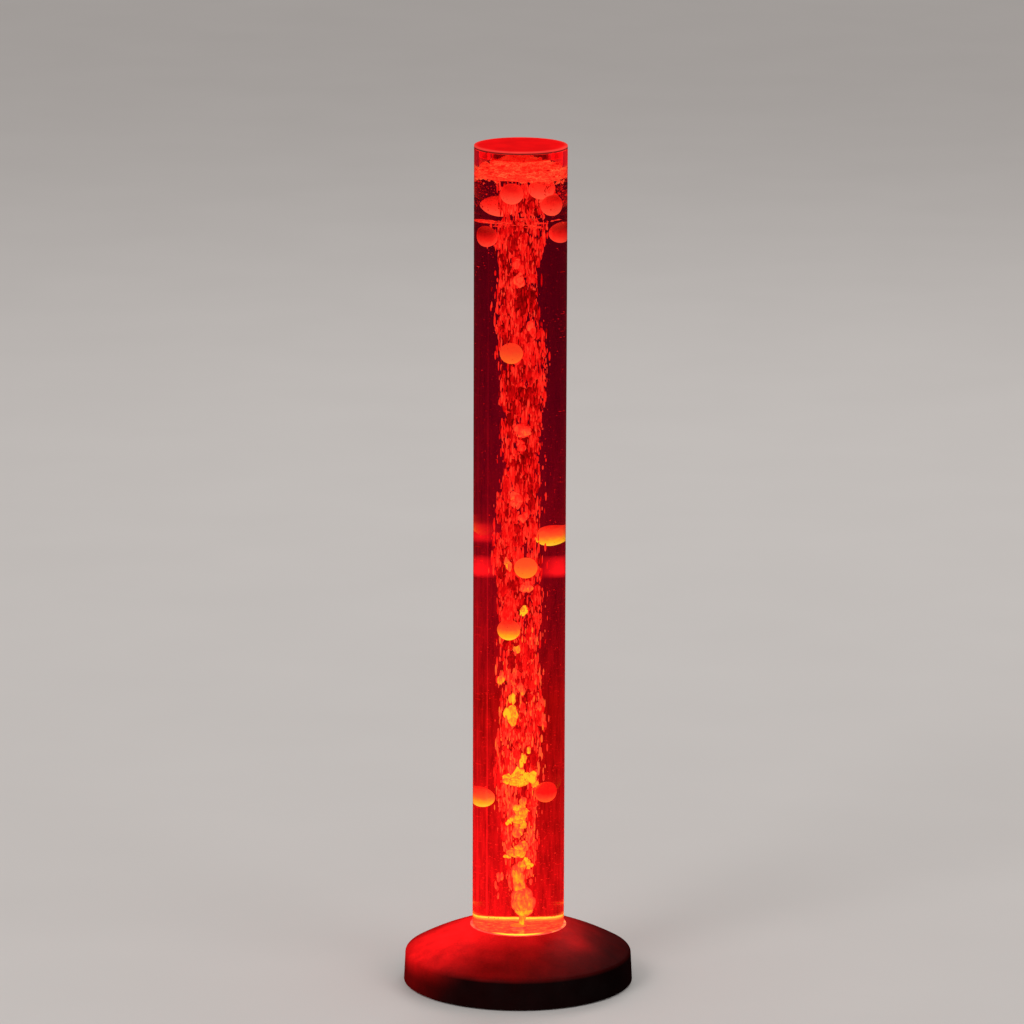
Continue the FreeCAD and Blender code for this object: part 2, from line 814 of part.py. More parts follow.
# --------------------------------------------------------- power and controls
def make_power_jack():
    flange = along_y(jack_flange_radius, 0, panel_y, panel_y + jack_flange_thickness, control_level)
    body = along_y(jack_radius, 0, panel_y - jack_depth, panel_y, control_level)
    face = panel_y + jack_flange_thickness
    jack = flange.fuse(body)
    jack = jack.cut(along_y(jack_bore_radius, 0, face - jack_bore_depth, face, control_level))
    pin = along_y(jack_pin_radius, 0, face - jack_bore_depth, face - jack_pin_setback, control_level)
    return jack.fuse(pin).removeSplitter()


def make_jack_nut():
    back = panel_y - shell_wall
    nut = prism(jack_nut_flats, 0, jack_nut_thickness)
    nut.rotate(point(0, 0, 0), point(1, 0, 0), 90)
    nut.translate(point(0, back, control_level))
    return nut.cut(along_y(jack_radius, 0, back - jack_nut_thickness, back, control_level))


def rocker_pivot_y():
    return panel_y - rocker_pivot_depth


def make_switch_frame():
    bezel = box(switch_x - bezel_length / 2, switch_x + bezel_length / 2,
                panel_y, panel_y + bezel_thickness,
                control_level - bezel_height / 2, control_level + bezel_height / 2)
    upper = [e for e in bezel.Edges if e.BoundBox.YMin > panel_y + bezel_thickness - 0.01]
    bezel = bezel.makeFillet(bezel_edge, upper)
    body = box(switch_x - switch_length / 2, switch_x + switch_length / 2,
               panel_y - switch_depth, panel_y,
               control_level - switch_height / 2, control_level + switch_height / 2)
    frame = bezel.fuse(body)
    well_half = rocker_length / 2 + switch_well_side
    well_rise = rocker_height / 2 + running_gap
    frame = frame.cut(box(switch_x - well_half, switch_x + well_half,
                          rocker_pivot_y() - switch_well_depth, panel_y + bezel_thickness,
                          control_level - well_rise, control_level + well_rise))
    pin_half = rocker_height / 2 + rocker_pin_length + running_gap
    frame = frame.cut(upright(rocker_pin_radius + pin_gap, control_level - pin_half,
                              control_level + pin_half, switch_x, rocker_pivot_y()))
    for side in (-1, 1):
        x = switch_x + side * tab_offset
        frame = frame.fuse(box(x - tab_thickness / 2, x + tab_thickness / 2,
                               panel_y - switch_depth - tab_length, panel_y - switch_depth,
                               control_level - tab_width / 2, control_level + tab_width / 2))
    return frame.removeSplitter()


def make_power_rocker():
    """The rocker stands at its on position, tilted towards the middle."""
    half = rocker_length / 2
    y = rocker_pivot_y()
    low = control_level - rocker_height / 2
    outline = [
        point(-half, rocker_back, 0), point(half, rocker_back, 0), point(half, rocker_crest, 0),
        point(0, rocker_valley, 0), point(-half, rocker_crest, 0), point(-half, rocker_back, 0),
    ]
    rocker = Part.Face(Part.makePolygon(outline)).extrude(point(0, 0, rocker_height))
    rocker.translate(point(switch_x, y, low))
    rocker = rocker.fuse(upright(rocker_hub_radius, low, low + rocker_height, switch_x, y))
    pin_low = low - rocker_pin_length
    pin_high = low + rocker_height + rocker_pin_length
    rocker = rocker.fuse(upright(rocker_pin_radius, pin_low, pin_high, switch_x, y))
    rocker = rocker.removeSplitter()
    rocker.rotate(point(switch_x, y, 0), point(0, 0, 1), rocker_tilt)
    return rocker


def tact_face():
    """y of the plunger's tip, at the end of the button's stem travel."""
    return control_back - tact_setback + tact_plunger


def make_colour_button():
    flange_y = panel_y - shell_wall - running_gap
    cap = along_y(button_radius, button_x, flange_y, panel_y + button_stand, control_level)
    edge = [e for e in cap.Edges if e.BoundBox.YMin > panel_y + button_stand - 0.01]
    cap = cap.makeFillet(button_edge, edge)
    flange_back = flange_y - button_flange_thickness
    flange = along_y(button_flange_radius, button_x, flange_back, flange_y, control_level)
    stem_end = tact_face() + button_travel + button_rest_gap
    stem = along_y(button_stem_radius, button_x, stem_end, flange_back, control_level)
    return cap.fuse(flange).fuse(stem).removeSplitter()


def make_tact_switch():
    half = tact_side / 2
    back = control_back - tact_setback
    body = box(button_x - half, button_x + half, back - tact_depth, back, control_top, control_level + half)
    plunger = along_y(tact_plunger_radius, button_x, back, tact_face(), control_level)
    return body.fuse(plunger).removeSplitter()


# ------------------------------------------------------------- control board
def wire_level():
    return control_top + plug_height / 2


def make_control_board():
    board = box(-control_half_width, control_half_width, control_front, control_back,
                control_bottom, control_top)
    for x, y in board_posts():
        board = board.cut(upright(small_screw_radius, control_bottom, control_top, x, y))
    return board


def make_board_screws():
    return Part.makeCompound([small_screw(x, y, control_top) for x, y in board_posts()])


def chip(x, y, length, width, height):
    """A block soldered on the control board, by its centre."""
    return box(x - length / 2, x + length / 2, y - width / 2, y + width / 2,
               control_top, control_top + height)


def make_board_components():
    middle = (control_front + control_back) / 2 + controller_side / 2
    plug_width = 2 * plug_half
    pump_plug_middle = pump_plug_x - pump_plug_length / 2
    return Part.makeCompound([
        chip(0, middle, controller_side, controller_side, controller_height),
        chip(driver_x, middle, driver_side, driver_side, driver_height),
        chip(0, led_plug_y, led_plug_length, plug_width, plug_height),
        chip(pump_plug_middle, pump_plug_y, pump_plug_length, plug_width, plug_height),
        upright(capacitor_radius, control_top, control_top + capacitor_height, capacitor_x, middle),
    ])


def make_led_cable():
    """From the underside of the light board down to its plug."""
    level = led_board_bottom - led_wire_drop
    path = rounded_path([
        point(0, led_wire_y, led_board_bottom),
        point(0, led_wire_y, level),
        point(0, led_plug_y, level),
        point(0, led_plug_y, control_top + plug_height),
    ], led_wire_bend)
    return swept(path, wire_radius)


def make_pump_cable():
    """From the coil's end of the pump to its plug."""
    path = rounded_path([
        point(pump_wire_x, pump_y_end - pump_wall, wire_level()),
        point(pump_wire_x, pump_plug_y, wire_level()),
        point(pump_plug_x, pump_plug_y, wire_level()),
    ], pump_wire_bend)
    return swept(path, wire_radius)


# --------------------------------------------------------------------- balls
def make_ball(wall_gap, bearing, depth):
    x, y = polar(bore_radius - ball_diameter / 2 - wall_gap, bearing)
    return Part.makeSphere(ball_diameter / 2, point(x, y, water_level - depth))


# --------------------------------------------------------------- write parts
save("base_shell", make_base_shell())
save("base_plate", make_base_plate())
for number, foot_angle in enumerate(foot_angles, 1):
    save(f"foot_{number}", make_foot(foot_angle))
save("case_screws", make_case_screws())
save("tube", make_tube())
save("tube_floor", make_tube_floor())
save("tube_flange", make_tube_flange())
save("flange_gasket", make_flange_gasket())
save("clamp_ring", make_clamp_ring())
save("clamp_screws", make_clamp_screws())
save("tube_seal", make_tube_seal())
save("lid", make_lid())
save("led_board", make_led_board())
save("leds", make_leds())
save("led_standoffs", make_led_standoffs())
save("led_screws", make_led_screws())
save("air_nozzle", make_air_nozzle())
save("nozzle_seal", make_nozzle_seal())
save("nozzle_nut", make_nozzle_nut())
save("check_valve", make_check_valve())
save("air_hose_lower", make_air_hose_lower())
save("air_hose_upper", make_air_hose_upper())
save("pump_housing", make_pump_housing())
save("pump_lid", make_pump_lid())
save("pump_feet", make_pump_feet())
save("pump_core", make_pump_core())
save("pump_coil", make_pump_coil())
save("pump_lever", make_pump_lever())
save("pump_magnet", make_pump_magnet())
save("pump_pivot_pin", make_pump_pivot_pin())
save("pump_diaphragm", make_pump_diaphragm())
save("pump_valve_head", make_pump_valve_head())
save("power_jack", make_power_jack())
save("jack_nut", make_jack_nut())
save("switch_frame", make_switch_frame())
save("power_rocker", make_power_rocker())
save("colour_button", make_colour_button())
save("tact_switch", make_tact_switch())
save("control_board", make_control_board())
save("board_screws", make_board_screws())
save("board_components", make_board_components())
save("led_cable", make_led_cable())
save("pump_cable", make_pump_cable())
for number, ball_place in enumerate(ball_places, 1):
    save(f"ball_{number:02d}", make_ball(*ball_place))
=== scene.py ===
import json
import math
import random

import bmesh
import bpy
from mathutils import Matrix, Vector, noise


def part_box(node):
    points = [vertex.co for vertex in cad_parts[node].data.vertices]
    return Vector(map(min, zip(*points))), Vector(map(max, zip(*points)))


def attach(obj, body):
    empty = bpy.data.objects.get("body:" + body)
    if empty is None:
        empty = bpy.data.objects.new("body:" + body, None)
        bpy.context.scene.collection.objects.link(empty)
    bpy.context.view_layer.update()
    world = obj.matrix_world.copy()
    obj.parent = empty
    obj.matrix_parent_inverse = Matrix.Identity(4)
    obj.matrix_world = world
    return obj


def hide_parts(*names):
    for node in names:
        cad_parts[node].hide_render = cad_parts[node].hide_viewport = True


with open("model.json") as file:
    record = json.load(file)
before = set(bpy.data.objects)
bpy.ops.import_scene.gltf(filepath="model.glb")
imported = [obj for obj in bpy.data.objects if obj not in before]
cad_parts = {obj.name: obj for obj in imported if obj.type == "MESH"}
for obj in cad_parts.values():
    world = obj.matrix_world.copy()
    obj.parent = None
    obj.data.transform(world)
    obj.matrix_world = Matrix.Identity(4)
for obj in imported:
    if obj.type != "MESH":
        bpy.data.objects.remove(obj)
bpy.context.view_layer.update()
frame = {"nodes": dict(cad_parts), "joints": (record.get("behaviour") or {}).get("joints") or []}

# ---- Camera ---------------------------------------------------------------------------------
# A long lens, 6.9 m in front of the lamp and 2 m up, looks down on the middle of the tube.
# Its place and angles come from the ellipses of the lid, the seal and the base.
camera_place = Vector((0.0, -6.8557, 2.049))
camera_pitch, camera_yaw, camera_roll = 0.2189, -0.0012, 0.0033
look = Vector((math.sin(camera_yaw) * math.cos(camera_pitch),
    math.cos(camera_yaw) * math.cos(camera_pitch), -math.sin(camera_pitch)))
level = look.cross(Vector((0, 0, 1))).normalized()
upward = level.cross(look)
right = math.cos(camera_roll) * level + math.sin(camera_roll) * upward
up = -math.sin(camera_roll) * level + math.cos(camera_roll) * upward
camera_data = bpy.data.cameras.new("camera")
camera_data.sensor_width = 36.0
camera_data.lens = 6507.5 * 36.0 / 1024
camera_data.clip_end = 60.0
camera = bpy.data.objects.new("camera", camera_data)
turn = Matrix((right, up, -look)).transposed().to_4x4()
camera.matrix_world = Matrix.Translation(camera_place) @ turn
bpy.context.scene.collection.objects.link(camera)
bpy.context.scene.camera = camera
bpy.context.scene.view_settings.view_transform = "Standard"

# ---- Studio ---------------------------------------------------------------------------------
# A wide pale paper floor under three soft boxes and an even pale sky. As for glassware, what
# mirrors in the lamp is kept dark, so that its gloss doesn't hide the light inside.


def linear(hex_colour):
    """An sRGB hex colour as the linear colour that a socket takes."""
    parts = [int(hex_colour[i:i + 2], 16) / 255 for i in (1, 3, 5)]
    return (*(c / 12.92 if c <= 0.04045 else ((c + 0.055) / 1.055) ** 2.4 for c in parts), 1.0)


def new_finish(name, colour, settings):
    """A new material; what is the same all over it is set on the shader's own sockets."""
    made = bpy.data.materials.new(name)
    made.use_nodes = True
    sockets = made.node_tree.nodes["Principled BSDF"].inputs
    sockets["Base Color"].default_value = linear(colour)
    for socket, value in settings.items():
        sockets[socket].default_value = linear(value) if isinstance(value, str) else value
    return made


def nodes_for(finish):
    """The function that adds a node to a finish, and where the finish's points lie in metres.
    A node gets its values or links by socket, or in a row from the first socket on, an
    operation, a ramp's stops, the shader socket it feeds and other settings. A node given as a
    value stands for its first output. "From" and "To" take the two ends of a range."""
    nodes, links = finish.node_tree.nodes, finish.node_tree.links

    def add(kind, sockets=(), operation=None, stops=None, to=None, output=0, **settings):
        made = nodes.new("ShaderNode" + kind)
        if operation:
            made.operation = operation
        for name, value in settings.items():
            setattr(made, name, value)
        given = dict(sockets) if isinstance(sockets, dict) else dict(enumerate(sockets))
        for side in ("From", "To"):
            if side in given:
                given[side + " Min"], given[side + " Max"] = given.pop(side)
        for socket, value in given.items():
            if isinstance(value, bpy.types.Node):
                value = value.outputs[0]
            if isinstance(value, bpy.types.NodeSocket):
                links.new(value, made.inputs[socket])
            else:
                made.inputs[socket].default_value = value
        if stops:
            points = made.color_ramp.elements
            while len(points) < len(stops):
                points.new(1.0)
            for point, (place, colour) in zip(points, stops):
                point.position = place
                point.color = linear(colour)
        if to:
            links.new(made.outputs[output], nodes["Principled BSDF"].inputs[to])
        return made
    return add, add("TexCoord").outputs["Object"]


floor_half = 30.0
paper = bpy.data.meshes.new("paper_floor")
paper.from_pydata([(-floor_half, -floor_half, 0), (floor_half, -floor_half, 0),
    (floor_half, floor_half, 0), (-floor_half, floor_half, 0)], [], [(0, 1, 2, 3)])
studio_floor = bpy.data.objects.new("paper_floor", paper)
bpy.context.scene.collection.objects.link(studio_floor)
studio_floor.visible_glossy = False
# Matt studio paper: even and pale, hardly cloudy at all.
studio_paper = new_finish("matt studio paper", "#d0ccc9", {"Roughness": 0.9})
add, spot = nodes_for(studio_paper)
cloud = add("TexNoise", {"Vector": spot, "Scale": 1 / 0.25, "Detail": 2.0})
add("ValToRGB", {"Fac": cloud}, stops=[(0.3, "#cfcbc8"), (0.7, "#d1cdca")], to="Base Color")
paper.materials.append(studio_paper)

sky = bpy.data.worlds.new("pale_sky")
sky.use_nodes = True
pale_sky = sky.node_tree.nodes["Background"]
pale_sky.inputs["Color"].default_value = linear("#e6e3e1")
pale_sky.inputs["Strength"].default_value = 0.74
mirrored_sky = sky.node_tree.nodes.new("ShaderNodeBackground")
mirrored_sky.inputs["Color"].default_value = linear("#5a2224")
mirrored_sky.inputs["Strength"].default_value = 0.5
ray_kind = sky.node_tree.nodes.new("ShaderNodeLightPath")
either_sky = sky.node_tree.nodes.new("ShaderNodeMixShader")
sky.node_tree.links.new(ray_kind.outputs["Is Glossy Ray"], either_sky.inputs[0])
sky.node_tree.links.new(pale_sky.outputs[0], either_sky.inputs[1])
sky.node_tree.links.new(mirrored_sky.outputs[0], either_sky.inputs[2])
sky.node_tree.links.new(either_sky.outputs[0], sky.node_tree.nodes["World Output"].inputs[0])
bpy.context.scene.world = sky
soft_boxes = []
for box_name, box_place, box_size, box_watts in (("key_box", (-2.6, -3.2, 3.4), 2.2, 60.0),
        ("fill_box", (3.2, -2.4, 2.6), 2.4, 25.0), ("back_box", (0.6, 3.4, 3.6), 2.4, 40.0)):
    light = bpy.data.lights.new(box_name, "AREA")
    light.shape = "DISK"
    light.size = box_size
    light.energy = box_watts
    soft_box = bpy.data.objects.new(box_name, light)
    soft_box.location = box_place
    aim = Vector((0, 0, 0.45)) - Vector(box_place)
    soft_box.rotation_euler = aim.to_track_quat("-Z", "Y").to_euler()
    bpy.context.scene.collection.objects.link(soft_box)
    soft_boxes.append(soft_box)

# ---- Base shell -----------------------------------------------------------------------------
# One moulding of black ABS: a side band, a rounded shoulder and a low domed top up to the neck.
# The mould's spark-worn face makes it matt, and the lamp's light is painted red on its slope.


def dress(finish, *names):
    """Gives CAD nodes a finish through their material slots."""
    for name in names:
        for place in frame["nodes"][name].material_slots:
            place.material = finish


# Black ABS, moulded with a fine spark texture: deep black, broad dull highlights. The real
# grain is 0.15 mm; it is drawn at 0.9 mm so that it shows at all.
black_abs = new_finish("black ABS, spark-textured moulding", "#0b0a0b",
    {"Roughness": 0.55, "IOR": 1.54, "Specular IOR Level": 0.2})
add, spot = nodes_for(black_abs)
grain = add("TexNoise", {"Vector": spot, "Scale": 1 / 0.0009, "Detail": 2.0})
dust = add("TexNoise", {"Vector": spot, "Scale": 1 / 0.03, "Detail": 4.0})
add("ValToRGB", {"Fac": dust}, stops=[(0.35, "#040404"), (0.7, "#0a0909")], to="Base Color")
add("MapRange", {"Value": grain, "To": (0.45, 0.65)}, to="Roughness")
add("Bump", {"Height": grain, "Strength": 0.3, "Distance": 0.0003}, to="Normal")
dress(black_abs, "base_plate", "pump_housing", "pump_lid")

# The shell's own copy has the lamp's light painted on it as a red glow. It is red from the neck
# outwards, weaker on the right, with a thin painted wash over the top. A painted pool of red light
# lies on the left of the slope and a faint painted streak on the right front, and the glow fades
# down the side band.
abs_painted_glow = black_abs.copy()
abs_painted_glow.name = "black ABS, spark-textured moulding, under the lamp's light"
lit_sockets = abs_painted_glow.node_tree.nodes["Principled BSDF"].inputs
lit_sockets["Specular IOR Level"].default_value = 0.035
lit_sockets["Emission Color"].default_value = linear("#ff1315")
add, spot = nodes_for(abs_painted_glow)
axes = add("SeparateXYZ", {"Vector": spot})
out = add("VectorMath", [spot, (1.0, 1.0, 0.0)], "MULTIPLY")
away = add("VectorMath", [out], "LENGTH")
slope = add("MapRange", {"Value": away.outputs["Value"], "From": (0.128, 0.052)})
slope_fall = add("Math", [slope, 2.2], "POWER")
rightward = add("MapRange", {"Value": axes.outputs["X"], "From": (-0.06, 0.10),
    "To": (0.80, 0.22)})
slope_light = add("Math", [slope_fall, rightward], "MULTIPLY")
pool_place, pool_reach = (-0.096, -0.026, 0.046), 0.100
from_pool = add("VectorMath", [spot, pool_place], "DISTANCE")
pool_share = add("MapRange", {"Value": from_pool.outputs["Value"], "From": (pool_reach, 0.0),
    "To": (0.0, 0.85)}, interpolation_type="SMOOTHERSTEP")
streak_place, streak_reach = (0.062, -0.045, 0.055), 0.035
from_streak = add("VectorMath", [spot, streak_place], "DISTANCE")
streak_share = add("MapRange", {"Value": from_streak.outputs["Value"], "From": (streak_reach, 0.0),
    "To": (0.0, 0.16)}, interpolation_type="SMOOTHERSTEP")
both = add("Math", [slope_light, pool_share], "ADD")
spill = add("MapRange", {"Value": axes.outputs["X"], "From": (-0.06, 0.10), "To": (0.20, 0.03)})
above_band = add("MapRange", {"Value": axes.outputs["Z"], "From": (0.030, 0.036),
    "To": (0.03, 1.0)})
spill_light = add("Math", [spill, above_band], "MULTIPLY")
all_light = add("Math", [both, streak_share], "ADD")
band_fade = add("MapRange", {"Value": axes.outputs["Z"], "From": (0.012, 0.042),
    "To": (0.20, 1.0)}, interpolation_type="SMOOTHSTEP")
faded = add("Math", [all_light, band_fade, spill_light], "MULTIPLY_ADD")
# Fine and broad noise make the painted glow uneven.
glow_mottle = add("TexNoise", {"Vector": spot, "Scale": 1 / 0.0011, "Detail": 2.0})
glow_patches = add("TexNoise", {"Vector": spot, "Scale": 1 / 0.018, "Detail": 4.0})
blend = add("Math", [glow_mottle, glow_patches], "ADD")
uneven_glow = add("MapRange", {"Value": blend, "From": (0.6, 1.4), "To": (0.55, 1.3)})
add("Math", [faded, uneven_glow], "MULTIPLY", to="Emission Strength")
dress(abs_painted_glow, "base_shell")

# ---- Feet, gasket and other rubber ----------------------------------------------------------
# Four pressed feet, the flange's gasket, the pump's feet and its diaphragm.
# Moulded EPDM: charcoal, quite dull, with a bloom of paler dust.
rubber = new_finish("EPDM rubber, moulded", "#161616", {"Roughness": 0.8, "IOR": 1.52})
add, spot = nodes_for(rubber)
bloom = add("TexNoise", {"Vector": spot, "Scale": 1 / 0.004, "Detail": 5.0})
add("ValToRGB", {"Fac": bloom}, stops=[(0.35, "#121212"), (0.75, "#242322")], to="Base Color")
add("Bump", {"Height": bloom, "Strength": 0.3, "Distance": 0.0002}, to="Normal")
dress(rubber, "foot_1", "foot_2", "foot_3", "foot_4", "flange_gasket", "pump_feet",
    "pump_diaphragm")

# ---- Screws, pins and the pump's core -------------------------------------------------------
# Zinc-plated steel screws and pin: bright blue-grey with fine turning marks. The core is a
# stack of 0.5 mm electrical steel sheets, darker, with a line at each sheet's edge.
zinc_steel = new_finish("zinc-plated steel, cold-formed", "#b3b6bb",
    {"Metallic": 1.0, "Roughness": 0.32})
add, spot = nodes_for(zinc_steel)
marks = add("TexNoise", {"Vector": spot, "Scale": 1 / 0.0006, "Detail": 3.0})
add("ValToRGB", {"Fac": marks}, stops=[(0.3, "#9fa3a9"), (0.7, "#c3c6ca")], to="Base Color")
add("MapRange", {"Value": marks, "To": (0.22, 0.45)}, to="Roughness")
dress(zinc_steel, "case_screws", "clamp_screws", "led_screws", "board_screws", "pump_pivot_pin")
core_steel = new_finish("electrical steel, stacked sheets", "#6f7276",
    {"Metallic": 1.0, "Roughness": 0.5})
add, spot = nodes_for(core_steel)
sheets = add("TexWave", {"Vector": spot, "Scale": math.pi / (20 * 0.0005), "Distortion": 0.4},
    bands_direction="Z", wave_profile="SIN")
add("ValToRGB", {"Fac": sheets.outputs["Fac"]}, stops=[(0.2, "#4b4d50"), (0.7, "#7d8084")],
    to="Base Color")
add("Bump", {"Height": sheets.outputs["Fac"], "Strength": 0.4, "Distance": 0.0002}, to="Normal")
dress(core_steel, "pump_core")

# ---- Clamp ring, nozzle, valve and pump mouldings -------------------------------------------
# The pale mouldings inside the base: what holds the tube, lets the air in and pumps it.
# Natural nylon: milky, slightly see-through and softly shiny, with faint flow lines.
nylon = new_finish("natural nylon, moulded", "#d8d4c6", {"Roughness": 0.42, "IOR": 1.53,
    "Subsurface Weight": 0.15, "Subsurface Scale": 0.002})
add, spot = nodes_for(nylon)
flow = add("TexNoise", {"Vector": spot, "Scale": 1 / 0.006, "Detail": 4.0, "Distortion": 1.2})
add("ValToRGB", {"Fac": flow}, stops=[(0.3, "#cdc8b8"), (0.7, "#e1ddd1")], to="Base Color")
add("Bump", {"Height": flow, "Strength": 0.15, "Distance": 0.0002}, to="Normal")
dress(nylon, "clamp_ring", "nozzle_nut", "check_valve", "pump_valve_head", "jack_nut",
    "pump_lever")
# The nozzle stands in the light of the LEDs; that orange light is painted on it as a glow.
nylon_painted_glow = nylon.copy()
nylon_painted_glow.name = "natural nylon, moulded, lit through"
lit_sockets = nylon_painted_glow.node_tree.nodes["Principled BSDF"].inputs
lit_sockets["Emission Color"].default_value = linear("#ff7a2a")
lit_sockets["Emission Strength"].default_value = 0.85
dress(nylon_painted_glow, "air_nozzle")

# ---- Light board ----------------------------------------------------------------------------
# A round glass-fibre board under a green solder mask, with twelve LEDs, brass standoffs and
# the control board beside the pump. The weave shows faintly through the mask.
solder_mask = new_finish("green solder mask on woven glass-fibre board", "#0f4a2b",
    {"Roughness": 0.35, "Coat Weight": 0.3, "Coat Roughness": 0.2})
add, spot = nodes_for(solder_mask)
weave = add("TexWave", {"Vector": spot, "Scale": math.pi / (20 * 0.0012), "Distortion": 1.0},
    bands_direction="DIAGONAL")
tracks = add("TexVoronoi", {"Vector": spot, "Scale": 1 / 0.006}, distance="MANHATTAN",
    feature="DISTANCE_TO_EDGE")
track = add("ValToRGB", {"Fac": tracks}, stops=[(0.05, "#1b7046"), (0.09, "#0c4125")])
deep = add("MapRange", {"Value": weave.outputs["Fac"], "To": (0.8, 1.1)})
add("HueSaturation", {"Color": track, "Value": deep}, to="Base Color")
dress(solder_mask, "led_board", "control_board")

# LEDs: clear domes over a warm die, lit while the lamp is on.
led_lens = new_finish("epoxy LED lens, cast", "#ffd9a8", {"Roughness": 0.15, "IOR": 1.53,
    "Emission Color": "#ff8a3c"})
add, spot = nodes_for(led_lens)
die = add("TexNoise", {"Vector": spot, "Scale": 1 / 0.002})
add("MapRange", {"Value": die, "To": (2.0, 5.0)}, to="Emission Strength")
dress(led_lens, "leds")

# Turned brass: yellow, with rings left by the lathe.
brass = new_finish("brass, turned", "#c9a25a", {"Metallic": 1.0, "Roughness": 0.3})
add, spot = nodes_for(brass)
rings = add("TexWave", {"Vector": spot, "Scale": math.pi / (20 * 0.0004), "Distortion": 0.5},
    bands_direction="Z")
add("ValToRGB", {"Fac": rings.outputs["Fac"]}, stops=[(0.2, "#b58d48"), (0.8, "#d6b26c")],
    to="Base Color")
dress(brass, "led_standoffs")

# ---- Pump coil and magnet -------------------------------------------------------------------
# Inside the pump: enamelled copper wire wound in close 0.4 mm turns, and a ferrite magnet,
# ground flat, on the lever that it drives.
copper = new_finish("enamelled copper wire, wound", "#a2552b",
    {"Metallic": 1.0, "Roughness": 0.35, "Coat Weight": 0.5})
add, spot = nodes_for(copper)
turns = add("TexWave", {"Vector": spot, "Scale": math.pi / (20 * 0.0004), "Distortion": 0.6},
    bands_direction="X")
add("ValToRGB", {"Fac": turns.outputs["Fac"]}, stops=[(0.15, "#6d3217"), (0.7, "#bd6a38")],
    to="Base Color")
add("Bump", {"Height": turns.outputs["Fac"], "Strength": 0.5, "Distance": 0.0002}, to="Normal")
dress(copper, "pump_coil")
ferrite = new_finish("ferrite, ground", "#3c3c3f", {"Roughness": 0.55, "Metallic": 0.3})
add, spot = nodes_for(ferrite)
pores = add("TexNoise", {"Vector": spot, "Scale": 1 / 0.0007, "Detail": 5.0})
add("ValToRGB", {"Fac": pores}, stops=[(0.35, "#2c2c2f"), (0.7, "#4a4a4e")], to="Base Color")
dress(ferrite, "pump_magnet")

# ---- Air hoses ------------------------------------------------------------------------------
# Two short hoses carry the air from the pump through the check valve to the nozzle.
# Silicone, extruded without colour: milky and soft, hardly cloudy.
hose_silicone = new_finish("silicone hose, extruded", "#cfccc6",
    {"Roughness": 0.38, "IOR": 1.41, "Transmission Weight": 0.4, "Subsurface Weight": 0.2,
    "Subsurface Scale": 0.003})
add, spot = nodes_for(hose_silicone)
haze = add("TexNoise", {"Vector": spot, "Scale": 1 / 0.005, "Detail": 3.0})
add("ValToRGB", {"Fac": haze}, stops=[(0.3, "#c2beb7"), (0.7, "#dad7d1")], to="Base Color")
dress(hose_silicone, "air_hose_lower", "air_hose_upper")

# ---- Power inlet, switches and cables -------------------------------------------------------
# Black PBT mouldings on the back panel and on the control board, glossier than the shell, with
# slight sink marks. The cables' black sheath looks much the same. The rocker and the button
# are the parts that fingers polish.
black_pbt = new_finish("black PBT, moulded", "#101011", {"Roughness": 0.35, "IOR": 1.55})
add, spot = nodes_for(black_pbt)
sink = add("TexNoise", {"Vector": spot, "Scale": 1 / 0.005, "Detail": 2.0})
add("ValToRGB", {"Fac": sink}, stops=[(0.3, "#0c0c0d"), (0.7, "#18181a")], to="Base Color")
add("MapRange", {"Value": sink, "To": (0.28, 0.45)}, to="Roughness")
dress(black_pbt, "power_jack", "tact_switch", "board_components", "led_cable", "pump_cable",
    "switch_frame")
polished_pbt = new_finish("black PBT, polished by use", "#19191b", {"Roughness": 0.2, "IOR": 1.55})
add, spot = nodes_for(polished_pbt)
rub = add("TexNoise", {"Vector": spot, "Scale": 1 / 0.003, "Detail": 4.0})
add("ValToRGB", {"Fac": rub}, stops=[(0.3, "#141416"), (0.7, "#222226")], to="Base Color")
add("MapRange", {"Value": rub, "To": (0.14, 0.34)}, to="Roughness")
dress(polished_pbt, "power_rocker", "colour_button")

# ---- Tube flange and floor ------------------------------------------------------------------
# The flange is clear cast acrylic, bonded round the tube's foot inside the base. The floor is a
# thick acrylic plug whose top lies level with the neck. The LEDs under it fill it with salmon and
# orange light, painted on it as a patchy glow with brighter spots.
clear_acrylic = new_finish("clear acrylic, cast", "#f3f5f6", {"Roughness": 0.04, "IOR": 1.49,
    "Transmission Weight": 0.9})
add, spot = nodes_for(clear_acrylic)
swirl = add("TexNoise", {"Vector": spot, "Scale": 1 / 0.02, "Detail": 2.0})
add("ValToRGB", {"Fac": swirl}, stops=[(0.3, "#eceff1"), (0.7, "#f9fafa")], to="Base Color")
dress(clear_acrylic, "tube_flange")

plug_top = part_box("tube_floor")[1].z
plug_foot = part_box("tube_floor")[0].z
plug_acrylic = new_finish("satin acrylic plug, lit from below", "#a03020",
    {"Roughness": 0.14, "IOR": 1.49, "Specular IOR Level": 0.5, "Emission Strength": 1.0})
add, spot = nodes_for(plug_acrylic)
cast = add("TexNoise", {"Vector": spot, "Scale": 1 / 0.006, "Detail": 4.0, "Distortion": 0.8})
beads = add("TexVoronoi", {"Vector": spot, "Scale": 1 / 0.005})
bead = add("MapRange", {"Value": beads, "From": (0.34, 0.10), "To": (0.0, 0.22)})
hue = add("Math", [cast, bead], "ADD")
add("ValToRGB", {"Fac": hue}, stops=[(0.30, "#f83222"), (0.46, "#ff4c2e"), (0.60, "#ff5e36"),
    (0.72, "#ff8434"), (0.84, "#ffa634")], to="Emission Color")
dress(plug_acrylic, "tube_floor")
